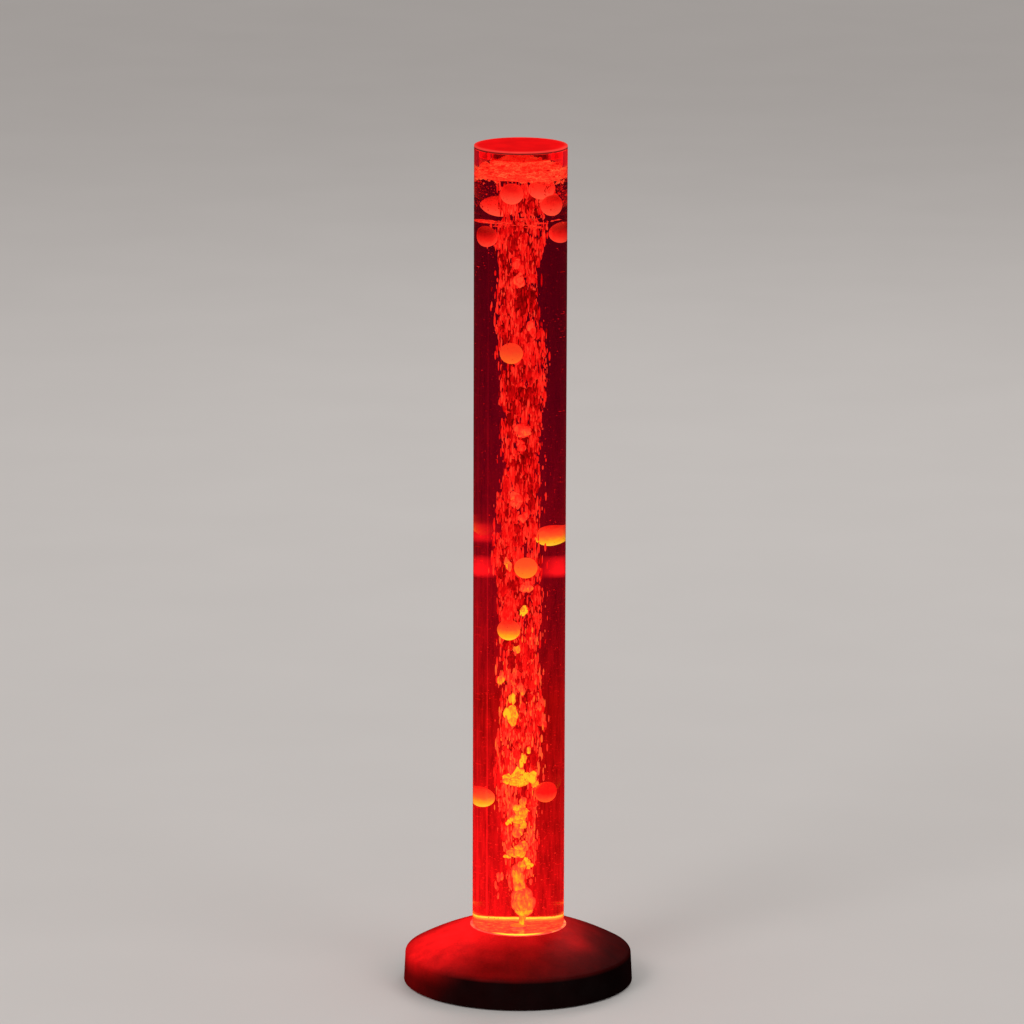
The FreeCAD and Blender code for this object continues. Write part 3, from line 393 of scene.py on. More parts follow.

# ---- Neck seal ------------------------------------------------------------------------------
# A moulded ring of milky silicone pressed between the tube and the shell's neck. Light leaks into
# it from the tube's wall; that light is painted on it as a salmon pink glow, warmer towards the
# right and brighter towards the top. The nozzle's washer is the same stuff.
seal_silicone = new_finish("milky silicone, moulded and lit from inside", "#b04038",
    {"Roughness": 0.5, "IOR": 1.41, "Specular IOR Level": 0.1})
add, spot = nodes_for(seal_silicone)
axes = add("SeparateXYZ", {"Vector": spot})
leak = add("TexNoise", {"Vector": spot, "Scale": 1 / 0.009, "Detail": 2.0})
rightward = add("MapRange", {"Value": axes.outputs["X"], "From": (0.025, 0.050),
    "To": (0.0, 0.16)})
hue = add("Math", [leak, rightward], "ADD")
add("ValToRGB", {"Fac": hue}, stops=[(0.3, "#ff302a"), (0.5, "#ff4a3c"), (0.65, "#ff6448"),
    (0.85, "#ffa048")], to="Emission Color")
add("MapRange", {"Value": axes.outputs["Z"], "From": (0.0545, 0.0625), "To": (0.5, 1.0)},
    to="Emission Strength")
dress(seal_silicone, "tube_seal", "nozzle_seal")

# ---- Clear tube -----------------------------------------------------------------------------
# Extruded clear acrylic, 100 mm across with a 5 mm wall, held in the base by its flange.
# Its mesh is made again here, because the wall's inside meets wet foam and water up to a line
# and air above it, and a ray of light bends differently at each.
tube_radius, bore_radius = 0.050, 0.045
tube_foot, tube_top = 0.0375, 0.9219
water_line, wet_line = 0.8930, 0.9035


def turned(outline, around):
    """Points and faces of a closed outline of (radius, height) points turned about the axis."""
    points, faces = [], []
    for radius, height in outline:
        for step in range(around):
            bearing = 2 * math.pi * step / around
            points.append((radius * math.cos(bearing), radius * math.sin(bearing), height))
    for row in range(len(outline)):
        below, above = row * around, (row + 1) % len(outline) * around
        for step in range(around):
            after = (step + 1) % around
            faces.append((below + step, below + after, above + after, above + step))
    return points, faces


def make_piece(name, points, faces, finishes, slot, body="lamp"):
    """A mesh piece with its finishes, that rides on a body; the slot argument is not used."""
    mesh = bpy.data.meshes.new(name)
    mesh.from_pydata(points, [], faces)
    for finish in finishes:
        mesh.materials.append(finish)
    mesh.shade_smooth()
    made = bpy.data.objects.new(name, mesh)
    bpy.context.scene.collection.objects.link(made)
    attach(made, body)
    return made


# Polished outside face: clear where light comes in, with its gloss given a painted red tint. On
# its way out at the far side it carries a painted dark red shade, so what is behind the lamp shows
# as a dark red, and lower down, where the water is full of light, hardly at all.
outer_face = new_finish("clear acrylic, extruded, outside face", "#ffffff",
    {"IOR": 1.49, "Transmission Weight": 1.0, "Specular Tint": "#904444"})
add, spot = nodes_for(outer_face)
axes = add("SeparateXYZ", {"Vector": spot})
height_share = add("MapRange", {"Value": axes.outputs["Z"], "From": (0.06, 0.90)})
exit_shade = add("ValToRGB", {"Fac": height_share}, stops=[(0.0, "#120000"), (0.3, "#1a0000"),
    (0.6, "#1e0001"), (1.0, "#200001")])
way_out = add("NewGeometry").outputs["Backfacing"]
add("Mix", {"Factor": way_out, 6: (1.0, 1.0, 1.0, 1.0), 7: exit_shade}, data_type="RGBA",
    to="Base Color", output=2)
draw = add("TexNoise", {"Vector": spot, "Scale": 1 / 0.05, "Detail": 1.0})
add("MapRange", {"Value": draw, "To": (0.0, 0.02)}, to="Roughness")
# Bore above the foam: misted with fine droplets, and the red light they catch is painted on as a
# speckled glow. It is brightest where the wall is seen edge-on, because light climbs inside it,
# and brighter on the right. Its pink tint is painted red light too.
dry_face = new_finish("clear acrylic, extruded, bore above the foam", "#ff9c9c",
    {"Roughness": 0.02, "IOR": 1.49, "Transmission Weight": 1.0, "Emission Color": "#ff1c1c"})
add, spot = nodes_for(dry_face)
mist = add("TexNoise", {"Vector": spot, "Scale": 1 / 0.003, "Detail": 3.0})
droplet_glints = add("MapRange", {"Value": mist, "From": (0.45, 0.75), "To": (0.012, 0.14)})
edge_on = add("LayerWeight", {"Blend": 0.5}).outputs["Facing"]
climbing = add("MapRange", {"Value": edge_on, "From": (0.20, 0.29), "To": (0.0, 0.60)})
axes = add("SeparateXYZ", {"Vector": spot})
by_side = add("MapRange", {"Value": axes.outputs["X"], "From": (-0.02, 0.02), "To": (0.55, 1.0)})
climbed = add("Math", [climbing, by_side], "MULTIPLY")
add("Math", [droplet_glints, climbed], "ADD", to="Emission Strength")
# Bore under the water: light passes from acrylic (1.49) to water (1.333), so the IOR is their
# ratio. The red light scattered in the water is painted on the wall as a glow: weak above, strong
# near the LEDs and stronger on the left than on the right. Thin upright lines of painted
# reflection mark where single LEDs mirror in the wall, and the specks of the finest bubbles are
# painted as glints. Round the foot runs a painted yellow line, where light leaks up past the plug.
# The bore's pink tint is painted red light too.
wet_face = new_finish("clear acrylic, extruded, bore under the water", "#ffc8c8",
    {"Roughness": 0.0, "IOR": 1.49 / 1.333, "Transmission Weight": 1.0})
add, spot = nodes_for(wet_face)
axes = add("SeparateXYZ", {"Vector": spot})
depth = add("MapRange", {"Value": axes.outputs["Z"], "From": (water_line, plug_top)})
scatter = add("Math", [depth, 2.6], "POWER")
bearing = add("Math", [axes.outputs["X"], axes.outputs["Y"]], "ARCTAN2")
round_share = add("MapRange", {"Value": bearing, "From": (-math.pi, math.pi)})
streak_stops = [(0.0, "#000000")]
for degrees, power in ((-133.5, "#ffffff"), (-111.5, "#cfcfcf"), (-84.0, "#707070"),
        (-51.0, "#8c8c8c"), (-12.0, "#707070"), (38.0, "#808080"), (83.0, "#606060"),
        (107.0, "#969696"), (161.0, "#4c4c4c")):
    share = (degrees + 180) / 360
    streak_stops += [(share - 0.0042, "#000000"), (share, power), (share + 0.0042, "#000000")]
streaks = add("ValToRGB", {"Fac": round_share}, stops=streak_stops)
stretched = add("VectorMath", [spot, (1.0, 1.0, 0.12)], "MULTIPLY")
runs = add("TexNoise", {"Vector": stretched, "Scale": 1 / 0.0035, "Detail": 4.0})
run_share = add("MapRange", {"Value": runs, "From": (0.3, 0.7), "To": (0.4, 1.6)})
specks = add("TexVoronoi", {"Vector": spot, "Scale": 1 / 0.0034})
speck = add("MapRange", {"Value": specks, "From": (0.22, 0.10), "To": (0.0, 1.5)})
streak_share = add("Math", [streaks, 2.6], "MULTIPLY")
some = add("Math", [streak_share, speck], "ADD")
more = add("Math", [some, run_share], "ADD")
lifted = add("Math", [scatter, 0.40, 0.012], "MULTIPLY_ADD")
across = add("MapRange", {"Value": axes.outputs["X"], "From": (-0.045, 0.045), "To": (1.15, 0.66)})
tilted = add("Math", [lifted, across], "MULTIPLY")
haze = add("Math", [tilted, more], "MULTIPLY")
# The two balls that lean on the wall half-way up mirror in it at the sides; these reflections are
# painted as red bands on the front half of the wall.
on_left = add("MapRange", {"Value": axes.outputs["X"], "From": (-0.018, -0.038)})
on_right = add("MapRange", {"Value": axes.outputs["X"], "From": (0.018, 0.038)})
on_both = add("Math", [on_left, on_right], "ADD")
sloped = add("Math", [axes.outputs["Y"], 0.20, axes.outputs["Z"]], "MULTIPLY_ADD")
mirror_depth = add("MapRange", {"Value": sloped, "From": (water_line, plug_top)})
lower_band = add("ValToRGB", {"Fac": mirror_depth}, stops=[(0.500, "#000000"), (0.506, "#c8c8c8"),
    (0.524, "#ffffff"), (0.531, "#000000")])
upper_band = add("ValToRGB", {"Fac": mirror_depth}, stops=[(0.456, "#000000"), (0.462, "#b4b4b4"),
    (0.478, "#dcdcdc"), (0.485, "#000000")])
lower_mirror = add("Math", [lower_band, on_both], "MULTIPLY")
upper_mirror = add("Math", [upper_band, on_left], "MULTIPLY")
both_mirrors = add("Math", [lower_mirror, upper_mirror], "ADD")
in_front = add("MapRange", {"Value": axes.outputs["Y"], "From": (0.012, -0.006)})
mirrors = add("Math", [both_mirrors, in_front], "MULTIPLY")
glow = add("Math", [mirrors, 1.1, haze], "MULTIPLY_ADD")
wander = add("Math", [runs, 0.0014, axes.outputs["Z"]], "MULTIPLY_ADD")
foot_line = add("MapRange", {"Value": wander, "From": (plug_top + 0.0036, plug_top + 0.0022)})
round_foot = add("MapRange", {"Value": axes.outputs["Y"], "From": (-0.045, 0.045)})
by_bearing = add("ValToRGB", {"Fac": round_foot}, stops=[(0.0, "#ffffff"), (0.04, "#f0f0f0"),
    (0.13, "#1c1c1c"), (0.45, "#1c1c1c"), (0.60, "#f0f0f0"), (1.0, "#ffffff")])
foot_glow = add("Math", [foot_line, by_bearing], "MULTIPLY")
add("Math", [foot_glow, glow], "ADD", to="Emission Strength")
add("ValToRGB", {"Fac": foot_glow}, stops=[(0.0, "#ff1416"), (0.15, "#ff1416"), (0.6, "#ffa024"),
    (1.0, "#ffd832")], to="Emission Color")
# Bore behind the plug: bonded to it, so light passes without bending. A faint, patchy red glow of
# the plug's light is painted on it.
bonded_face = new_finish("clear acrylic, extruded, bore bonded to the plug", "#ffffff",
    {"Roughness": 0.0, "IOR": 1.0, "Transmission Weight": 1.0, "Emission Color": "#ff3a20"})
add, spot = nodes_for(bonded_face)
bond = add("TexNoise", {"Vector": spot, "Scale": 1 / 0.01})
add("MapRange", {"Value": bond, "To": (0.0, 0.08)}, to="Emission Strength")

bond_radius = bore_radius + 0.00005
tube_outline = [(tube_radius, tube_foot), (tube_radius, tube_top - 0.0003),
    (tube_radius - 0.0003, tube_top), (bore_radius + 0.0003, tube_top),
    (bore_radius, tube_top - 0.0003), (bore_radius, wet_line), (bore_radius, plug_top),
    (bond_radius, plug_top - 0.0001), (bond_radius, plug_foot), (bore_radius, tube_foot)]
clear_tube = make_piece("clear_tube", *turned(tube_outline, 256),
    [outer_face, dry_face, wet_face, bonded_face], "clear_acrylic")
row_finish = (0, 0, 0, 0, 1, 2, 3, 3, 3, 0)
for face in clear_tube.data.polygons:
    face.material_index = row_finish[face.index // 256]
shape = bmesh.new()
shape.from_mesh(clear_tube.data)
bmesh.ops.recalc_face_normals(shape, faces=shape.faces)
shape.to_mesh(clear_tube.data)
shape.free()
clear_tube.data.set_sharp_from_angle(angle=math.radians(20))
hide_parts("tube")

# The soft boxes are screened from the tube and the lid, so that no white bars mirror in them.
screened = bpy.data.collections.new("screened_from_boxes")
for screened_piece in (clear_tube, frame["nodes"]["lid"]):
    screened.objects.link(screened_piece)
for soft_box in soft_boxes:
    soft_box.light_linking.receiver_collection = screened
for linked in screened.collection_objects:
    linked.light_linking.link_state = "EXCLUDE"

# ---- Water surface --------------------------------------------------------------------------
# The top of the water, under the foam: it heaves a little where the bubbles break, and the light
# from below is painted on it as a patchy red glow with a pink tint.
water_skin = new_finish("water, seen from air", "#ff9090", {"Roughness": 0.0, "IOR": 1.333,
    "Transmission Weight": 1.0, "Emission Color": "#ff2a1c"})
add, spot = nodes_for(water_skin)
ripple = add("TexNoise", {"Vector": spot, "Scale": 1 / 0.006, "Detail": 3.0})
add("MapRange", {"Value": ripple, "To": (0.10, 0.9)}, to="Emission Strength")
rings_out, ring_steps = 26, 96
surface_points, surface_faces = [(0.0, 0.0, water_line)], []
for ring in range(1, rings_out + 1):
    radius = (bore_radius - 0.00004) * ring / rings_out
    for step in range(ring_steps):
        angle = 2 * math.pi * step / ring_steps
        x, y = radius * math.cos(angle), radius * math.sin(angle)
        heave = 0.0008 * noise.noise(Vector((x, y, 0.3)) / 0.009)
        surface_points.append((x, y, water_line + heave * (1 - ring / rings_out)))
for step in range(ring_steps):
    surface_faces.append((0, 1 + step, 1 + (step + 1) % ring_steps))
for ring in range(rings_out - 1):
    for step in range(ring_steps):
        first, after = 1 + ring * ring_steps, (step + 1) % ring_steps
        surface_faces.append((first + step, first + ring_steps + step, first + ring_steps + after,
            first + after))
make_piece("water_surface", surface_points, surface_faces, [water_skin], "clear_acrylic")

# ---- Balls ----------------------------------------------------------------------------------
# Thirteen hollow white polypropylene balls. The light comes from below and is painted on them as a
# glow, so each is painted darker on top and brighter underneath: red to pink high up, orange to
# yellow near the LEDs.
ball_shell = new_finish("white polypropylene, blow-moulded", "#c8b8b4",
    {"Roughness": 0.4, "IOR": 1.49, "Specular IOR Level": 0.2, "Emission Strength": 0.92})
add, spot = nodes_for(ball_shell)
axes = add("SeparateXYZ", {"Vector": spot})
facing = add("NewGeometry").outputs["Normal"]
facing_axes = add("SeparateXYZ", {"Vector": facing})
underside = add("MapRange", {"Value": facing_axes.outputs["Z"], "From": (1.0, -0.9)})
mark = add("TexNoise", {"Vector": spot, "Scale": 1 / 0.004, "Detail": 3.0})
marked = add("Math", [mark, 0.24, -0.12], "MULTIPLY_ADD")
toned = add("Math", [underside, marked], "ADD")
# Two balls in the thick of the column are lit from all round, so their painted light is made more
# even in tone.
height_share = add("MapRange", {"Value": axes.outputs["Z"], "From": (0.40, 0.80)})
all_round = add("ValToRGB", {"Fac": height_share}, stops=[(0.130, "#000000"), (0.145, "#ffffff"),
    (0.207, "#ffffff"), (0.210, "#000000"), (0.700, "#000000"), (0.720, "#ffffff"),
    (0.800, "#ffffff"), (0.820, "#000000")])
even_share = add("Math", [all_round, 0.70], "MULTIPLY")
evened = add("Mix", {"Factor": even_share, 2: toned, 3: 0.50})
# High up, the two balls beside the column's edge stand in the shade of the raft above them,
# painted as a darker tone.
off_column = add("VectorMath", [spot, (1.0, 0.0, 0.0)], "MULTIPLY")
sideways = add("VectorMath", [off_column], "LENGTH")
aside = add("MapRange", {"Value": sideways.outputs["Value"], "From": (0.019, 0.027)})
under_raft = add("MapRange", {"Value": axes.outputs["Z"], "From": (0.850, 0.842)})
shaded = add("Math", [aside, under_raft], "MULTIPLY")
in_shade = add("Math", [shaded, -0.26, evened], "MULTIPLY_ADD")
high_ramp = add("ValToRGB", {"Fac": in_shade}, stops=[(0.0, "#8c0406"), (0.16, "#c00c0c"),
    (0.34, "#f02018"), (0.55, "#ff3a28"), (0.78, "#ff523a"), (1.0, "#ff5e3e")])
# Low down, the ball by the wall at the right stands off the column, so less light is painted on it
# and it stays red.
off_right = add("MapRange", {"Value": axes.outputs["X"], "From": (0.010, 0.018)})
near_foot = add("MapRange", {"Value": axes.outputs["Z"], "From": (0.32, 0.28)})
off_light = add("Math", [off_right, near_foot], "MULTIPLY")
low_toned = add("Math", [off_light, -0.50, evened], "MULTIPLY_ADD")
low_ramp = add("ValToRGB", {"Fac": low_toned}, stops=[(0.0, "#e01814"), (0.20, "#fa4024"),
    (0.46, "#ff642a"), (0.62, "#ff9626"), (0.78, "#ffc81e"), (1.0, "#ffec3a")])
lowness = add("MapRange", {"Value": axes.outputs["Z"], "From": (0.80, 0.58)})
add("Mix", {"Factor": lowness, 6: high_ramp, 7: low_ramp}, data_type="RGBA", to="Emission Color",
    output=2)
ball_names = sorted(name for name in frame["nodes"] if name.startswith("ball_"))
dress(ball_shell, *ball_names)

# ---- Bubbles --------------------------------------------------------------------------------
# Air from the nozzle rises as a ragged column of bubbles, drawn out into streaks by the time that
# the picture takes, through clouds of finer ones. Each bubble carries its own brightness of
# painted light.
ball_paths = []
for name in ball_names:
    low, high_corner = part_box(name)
    middle = (low + high_corner) / 2
    lower, upper = next(j for j in frame["joints"] if j["child"] == name)["range_m"]
    ball_paths.append((middle.x, middle.y, middle.z + lower, middle.z + upper,
        (high_corner.z - low.z) / 2))


def clear_of_balls(x, y, z, reach, tall):
    """Whether a bubble there stays out of the way of every ball's rise and fall."""
    return all(math.hypot(x - bx, y - by) > radius + reach or z + tall < bottom - radius
        or z - tall > top + radius for bx, by, bottom, top, radius in ball_paths)


def bubble_cloud(name, bubbles, detail, finish):
    """One piece made of many closed bubbles: (centre, half-widths, brightness, raggedness)."""
    ball = bmesh.new()
    bmesh.ops.create_icosphere(ball, subdivisions=detail, radius=1.0)
    unit = [v.co.copy() for v in ball.verts]
    unit_faces = [tuple(v.index for v in f.verts) for f in ball.faces]
    ball.free()
    points, faces, glow = [], [], []
    for centre, half, bright, ragged in bubbles:
        first = len(points)
        for u in unit:
            swell = 1.0
            if ragged:
                swell += ragged * noise.noise(u * 1.5 + Vector(centre) * 211.0)
            points.append((centre[0] + u.x * half[0] * swell, centre[1] + u.y * half[1] * swell,
                centre[2] + u.z * half[2] * swell))
        faces += [tuple(first + i for i in f) for f in unit_faces]
        glow += [bright] * len(unit)
    made = make_piece(name, points, faces, [finish], "clear_acrylic")
    layer = made.data.attributes.new("brightness", "FLOAT", "POINT")
    layer.data.foreach_set("value", glow)
    return made


# Air bubble in red-lit water: its mirror of the light below is painted as a glow, dark above and
# bright underneath with a painted darker rim, red high up and orange to yellow near the LEDs.
bubble_skin = new_finish("air bubble in lit water", "#400404",
    {"Roughness": 0.25, "IOR": 1.333, "Specular IOR Level": 0.2, "Emission Strength": 1.0})
add, spot = nodes_for(bubble_skin)
glow = add("Attribute", attribute_name="brightness").outputs["Fac"]
facing = add("NewGeometry").outputs["Normal"]
facing_axes = add("SeparateXYZ", {"Vector": facing})
under = add("MapRange", {"Value": facing_axes.outputs["Z"], "From": (1.0, -1.0),
    "To": (-0.08, 0.06)})
stretched = add("VectorMath", [spot, (1.0, 1.0, 0.35)], "MULTIPLY")
curdle = add("TexNoise", {"Vector": stretched, "Scale": 1 / 0.0024, "Detail": 3.0})
curdled = add("MapRange", {"Value": curdle, "From": (0.3, 0.7), "To": (-0.13, 0.09)})
edge_on = add("LayerWeight", {"Blend": 0.5}).outputs["Facing"]
dark_rim = add("MapRange", {"Value": edge_on, "From": (0.35, 1.0), "To": (0.02, -0.26)})
shade = add("Math", [under, curdled], "ADD")
rimmed = add("Math", [shade, dark_rim], "ADD")
lit = add("Math", [glow, rimmed], "ADD")
add("ValToRGB", {"Fac": lit}, stops=[(0.0, "#500002"), (0.16, "#980306"), (0.32, "#d80c0d"),
    (0.46, "#fc1c16"), (0.58, "#ff3626"), (0.70, "#ff5233"), (0.80, "#ff7c2e"), (0.90, "#ffb022"),
    (1.0, "#ffde28")], to="Emission Color")

chance = random.Random(20)
jet_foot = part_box("air_nozzle")[1].z


def column_middle(z):
    """Where the rising column's middle is at a height: it leaves the nozzle and sways."""
    sway = 0.0022 * math.sin(z / 0.047 + 0.6) + 0.0014 * math.sin(z / 0.021)
    return (0.0030 * math.exp(-(z - jet_foot) / 0.12) + sway * min(1.0, (z - 0.06) / 0.2),
        0.0020 * math.sin(z / 0.061 + 2.0))


def column_radius(z):
    """How wide the column has spread at a height, bulging and narrowing as it goes."""
    bulge = 0.0020 * math.sin(z / 0.034) * min(1.0, z / 0.3) \
        + 0.0060 * math.exp(-((z - 0.825) / 0.020) ** 2)
    return 0.0070 + 0.0110 * (1 - math.exp(-max(0.0, z - 0.100) / 0.040)) + bulge


def patch_light(x, y, z):
    """Painted light on the bubbles: clouds of brighter and darker ones along the column, warmer
    near the LEDs.
    """
    cloud = noise.noise(Vector((x / 0.013, y / 0.013, z / 0.028)))
    fine_cloud = noise.noise(Vector((x / 0.005, y / 0.005, z / 0.012 + 7.0)))
    return 0.72 - 0.34 * min(z, 0.75) + 0.40 * cloud + 0.22 * fine_cloud


def in_a_clump(x, y, z, room):
    """Whether a bubble there belongs to a clump; between clumps the dark water shows."""
    clump = noise.noise(Vector((x / 0.009, y / 0.009, z / 0.020 + 31.0)))
    return clump + room > 0.45 * chance.random()


# Larger pockets of air low in the column, flattened like mushrooms as they rise. A jet leaves
# the nozzle and swells into a bulb before it breaks away. Each is one smooth pocket or a heap
# of lobes, and no small bubble stands in front of it.
pocket_places = (
    (0.0028, 0.0680, 0.0024, 0.0052, 1, 0.92), (0.0034, 0.0740, 0.0028, 0.0064, 1, 0.90),
    (0.0046, 0.0815, 0.0076, 0.0066, 1, 0.92), (0.0042, 0.0895, 0.0104, 0.0105, 1, 0.82),
    (0.0030, 0.0980, 0.0088, 0.0105, 1, 0.78), (0.0010, 0.1070, 0.0054, 0.0100, 1, 0.82),
    (0.0000, 0.1160, 0.0046, 0.0110, 1, 0.87), (-0.0010, 0.1250, 0.0052, 0.0090, 1, 0.84),
    (0.0000, 0.1310, 0.0060, 0.0070, 5, 0.80), (0.0092, 0.1325, 0.0038, 0.0036, 3, 0.99),
    (0.0066, 0.1385, 0.0034, 0.0044, 3, 0.94), (-0.0100, 0.1437, 0.0042, 0.0030, 3, 1.02),
    (-0.0030, 0.1470, 0.0086, 0.0062, 7, 0.90), (0.0030, 0.1550, 0.0070, 0.0060, 6, 0.80),
    (-0.0150, 0.1190, 0.0028, 0.0060, 3, 0.72), (-0.0176, 0.1080, 0.0020, 0.0056, 3, 0.68),
    (-0.0158, 0.0960, 0.0016, 0.0044, 2, 0.68), (0.0100, 0.1155, 0.0022, 0.0046, 3, 0.70),
    (-0.0020, 0.1680, 0.0056, 0.0070, 4, 0.78), (0.0012, 0.1780, 0.0060, 0.0060, 4, 0.84),
    (-0.0010, 0.1860, 0.0080, 0.0060, 7, 0.93), (0.0020, 0.1950, 0.0066, 0.0070, 6, 0.95),
    (0.0050, 0.2040, 0.0040, 0.0060, 3, 0.88), (-0.0084, 0.1820, 0.0034, 0.0034, 3, 0.99),
    (0.0000, 0.2280, 0.0080, 0.0056, 7, 0.98), (-0.0088, 0.2310, 0.0056, 0.0060, 6, 1.01),
    (0.0084, 0.2330, 0.0062, 0.0060, 6, 1.01), (0.0000, 0.2390, 0.0050, 0.0070, 4, 0.96),
    (0.0140, 0.2240, 0.0034, 0.0056, 3, 0.93), (0.0030, 0.2520, 0.0034, 0.0080, 3, 0.93),
    (0.0086, 0.2620, 0.0026, 0.0070, 2, 0.88), (-0.0054, 0.2930, 0.0040, 0.0080, 3, 0.90),
    (-0.0064, 0.3060, 0.0058, 0.0090, 5, 0.98), (-0.0056, 0.3190, 0.0038, 0.0080, 3, 0.92),
    (-0.0160, 0.3440, 0.0042, 0.0070, 3, 0.82), (0.0036, 0.4185, 0.0046, 0.0056, 4, 0.99),
    (-0.0030, 0.3740, 0.0040, 0.0070, 3, 0.87), (0.0020, 0.3320, 0.0050, 0.0070, 4, 0.72),
    (-0.0090, 0.4690, 0.0044, 0.0080, 3, 0.84), (0.0060, 0.4440, 0.0060, 0.0070, 5, 0.72),
    (0.0041, 0.6171, 0.0080, 0.0070, 6, 0.69), (0.0010, 0.6000, 0.0060, 0.0060, 4, 0.62),
    (-0.0021, 0.5401, 0.0070, 0.0080, 6, 0.67), (0.0030, 0.5220, 0.0056, 0.0060, 4, 0.62),
    (-0.0004, 0.7808, 0.0060, 0.0090, 5, 0.63), (-0.0044, 0.8003, 0.0050, 0.0070, 4, 0.60),
    (0.0090, 0.7300, 0.0050, 0.0090, 4, 0.62), (-0.0020, 0.6930, 0.0060, 0.0060, 4, 0.62))


sight_fall = 0.17  # how far a level look into the water sinks for each metre of depth


def pocket_depth(z):
    """Where the pockets stand: in the front half of the column, once it has spread."""
    return -0.3 * column_radius(z)


def before_a_pocket(x, y, z, half):
    """Whether a bubble half as tall as that would stand in front of a pocket or the raft."""
    seen = z + sight_fall * (y - pocket_depth(z))
    raft_edge = 0.8429 + sight_fall * math.sqrt(max(0.0, 0.030 ** 2 - x * x))
    if -0.0012 - 0.8 * half < seen - raft_edge < 0.0020 + 0.8 * half:
        return True
    return any(((x - px) / (wide + 0.001)) ** 2 + ((seen - pz) / (tall + 0.6 * half)) ** 2 < 1.0
        for px, pz, wide, tall, lobes, bright in pocket_places)


pockets = []
for x, z, wide, tall, lobes, bright in pocket_places:
    y = pocket_depth(z) if z > 0.13 else -0.001
    if lobes == 1:
        pockets.append(((x, y, z), (wide, wide, tall), bright, 0.12))
        continue
    for lobe in range(lobes):
        angle, push = 2 * math.pi * chance.random(), 0.62 * wide * math.sqrt(chance.random())
        pockets.append(((x + push * math.cos(angle), y + push * math.sin(angle),
            z + 0.5 * tall * chance.uniform(-1, 1)), (wide * chance.uniform(0.42, 0.66),
            wide * chance.uniform(0.42, 0.66), tall * chance.uniform(0.5, 0.8)),
            min(1.06, bright + chance.uniform(-0.08, 0.07)), 0.32))
bubble_cloud("air_pockets", pockets, 3, bubble_skin)

# Where each kind of bubble stops rising, under the foam.
swarm_top, stream_top, speck_top = 0.889, 0.8895, 0.8885
swarm_count, stream_count, speck_count, side_speck_count = 680, 8200, 5200, 550
rising = []
while len(rising) < swarm_count:
    z = 0.100 + 0.775 * chance.random()
    spread = 0.80 * column_radius(z) * math.sqrt(chance.random())
    angle = 2 * math.pi * chance.random()
    mx, my = column_middle(z)
    x, y = mx + spread * math.cos(angle), my + spread * math.sin(angle)
    width = 0.0016 + 0.0020 * chance.random() ** 1.4
    tall = width * (1.5 + 1.8 * chance.random())
    if clear_of_balls(x, y, z, width * 1.2, tall * 1.2) and z + tall < swarm_top \
            and in_a_clump(x, y, z, 0.20) and (y > 0.004 or not before_a_pocket(x, y, z, tall)):
        bright = patch_light(x, y, z) - 0.28 + chance.gauss(0.0, 0.05)
        rising.append(((x, y, z), (width, width, tall), min(0.62, max(0.12, bright)), 0.55))
bubble_cloud("bubble_swarms", rising, 3, bubble_skin)

rising = []
while len(rising) < stream_count:
    z = jet_foot + 0.036 + (0.850 - jet_foot) * chance.random()
    stray = 1.25 if chance.random() < 0.12 else 1.0
    spread = stray * column_radius(z) * math.sqrt(chance.random())
    angle = 2 * math.pi * chance.random()
    mx, my = column_middle(z)
    x, y = mx + spread * math.cos(angle), my + spread * math.sin(angle)
    width = 0.00032 + 0.00060 * chance.random() ** 1.6
    tall = width * (3.0 + 7.0 * chance.random() ** 1.2)
    if not clear_of_balls(x, y, z, width, tall) or z + tall > stream_top:
        continue
    if not in_a_clump(x, y, z, 0.26) or (y < 0.004 and before_a_pocket(x, y, z, tall)):
        continue
    bright = patch_light(x, y, z) + chance.gauss(0.0, 0.12)
    rising.append(((x, y, z), (width, width * (0.8 + 0.4 * chance.random()), tall),
        min(0.58 if z > 0.40 else 0.74, max(0.04, bright)), 0.0))
bubble_cloud("rising_bubbles", rising, 2, bubble_skin)

# Fine bubbles that hang in the water and cling to the wall, as specks of painted red glow.
fine = []
while len(fine) < speck_count:
    z = plug_top + 0.002 + (speck_top - plug_top) * chance.random()
    radius = 0.0438 * math.sqrt(chance.random()) if len(fine) % 2 else 0.04445
    angle = 2 * math.pi * chance.random()
    x, y = radius * math.cos(angle), radius * math.sin(angle)
    size = 0.00014 + 0.00026 * chance.random() ** 2
    if not clear_of_balls(x, y, z, size, size):
        continue
    warm = max(0.0, (0.45 - z) / 0.45)
    fine.append(((x, y, z), (size, size, size * (1 + chance.random())),
        min(0.7, 0.12 + 0.40 * chance.random() ** 1.5 + 0.22 * warm), 0.0))
# Under the foam, clouds of them hang on both sides of the column.
while len(fine) < speck_count + side_speck_count:
    x, z = chance.choice((-1, 1)) * chance.uniform(0.021, 0.043), chance.uniform(0.858, speck_top)
    y, size = chance.uniform(-0.040, 0.040), 0.00022 + 0.00050 * chance.random() ** 2
    if math.hypot(x, y) + size < 0.0446 and clear_of_balls(x, y, z, size, size) \
            and in_a_clump(x, y, z, 0.10):
        fine.append(((x, y, z), (size, size, size * (1 + chance.random())),
            0.12 + 0.42 * chance.random(), 0.0))
bubble_cloud("fine_bubbles", fine, 1, bubble_skin)

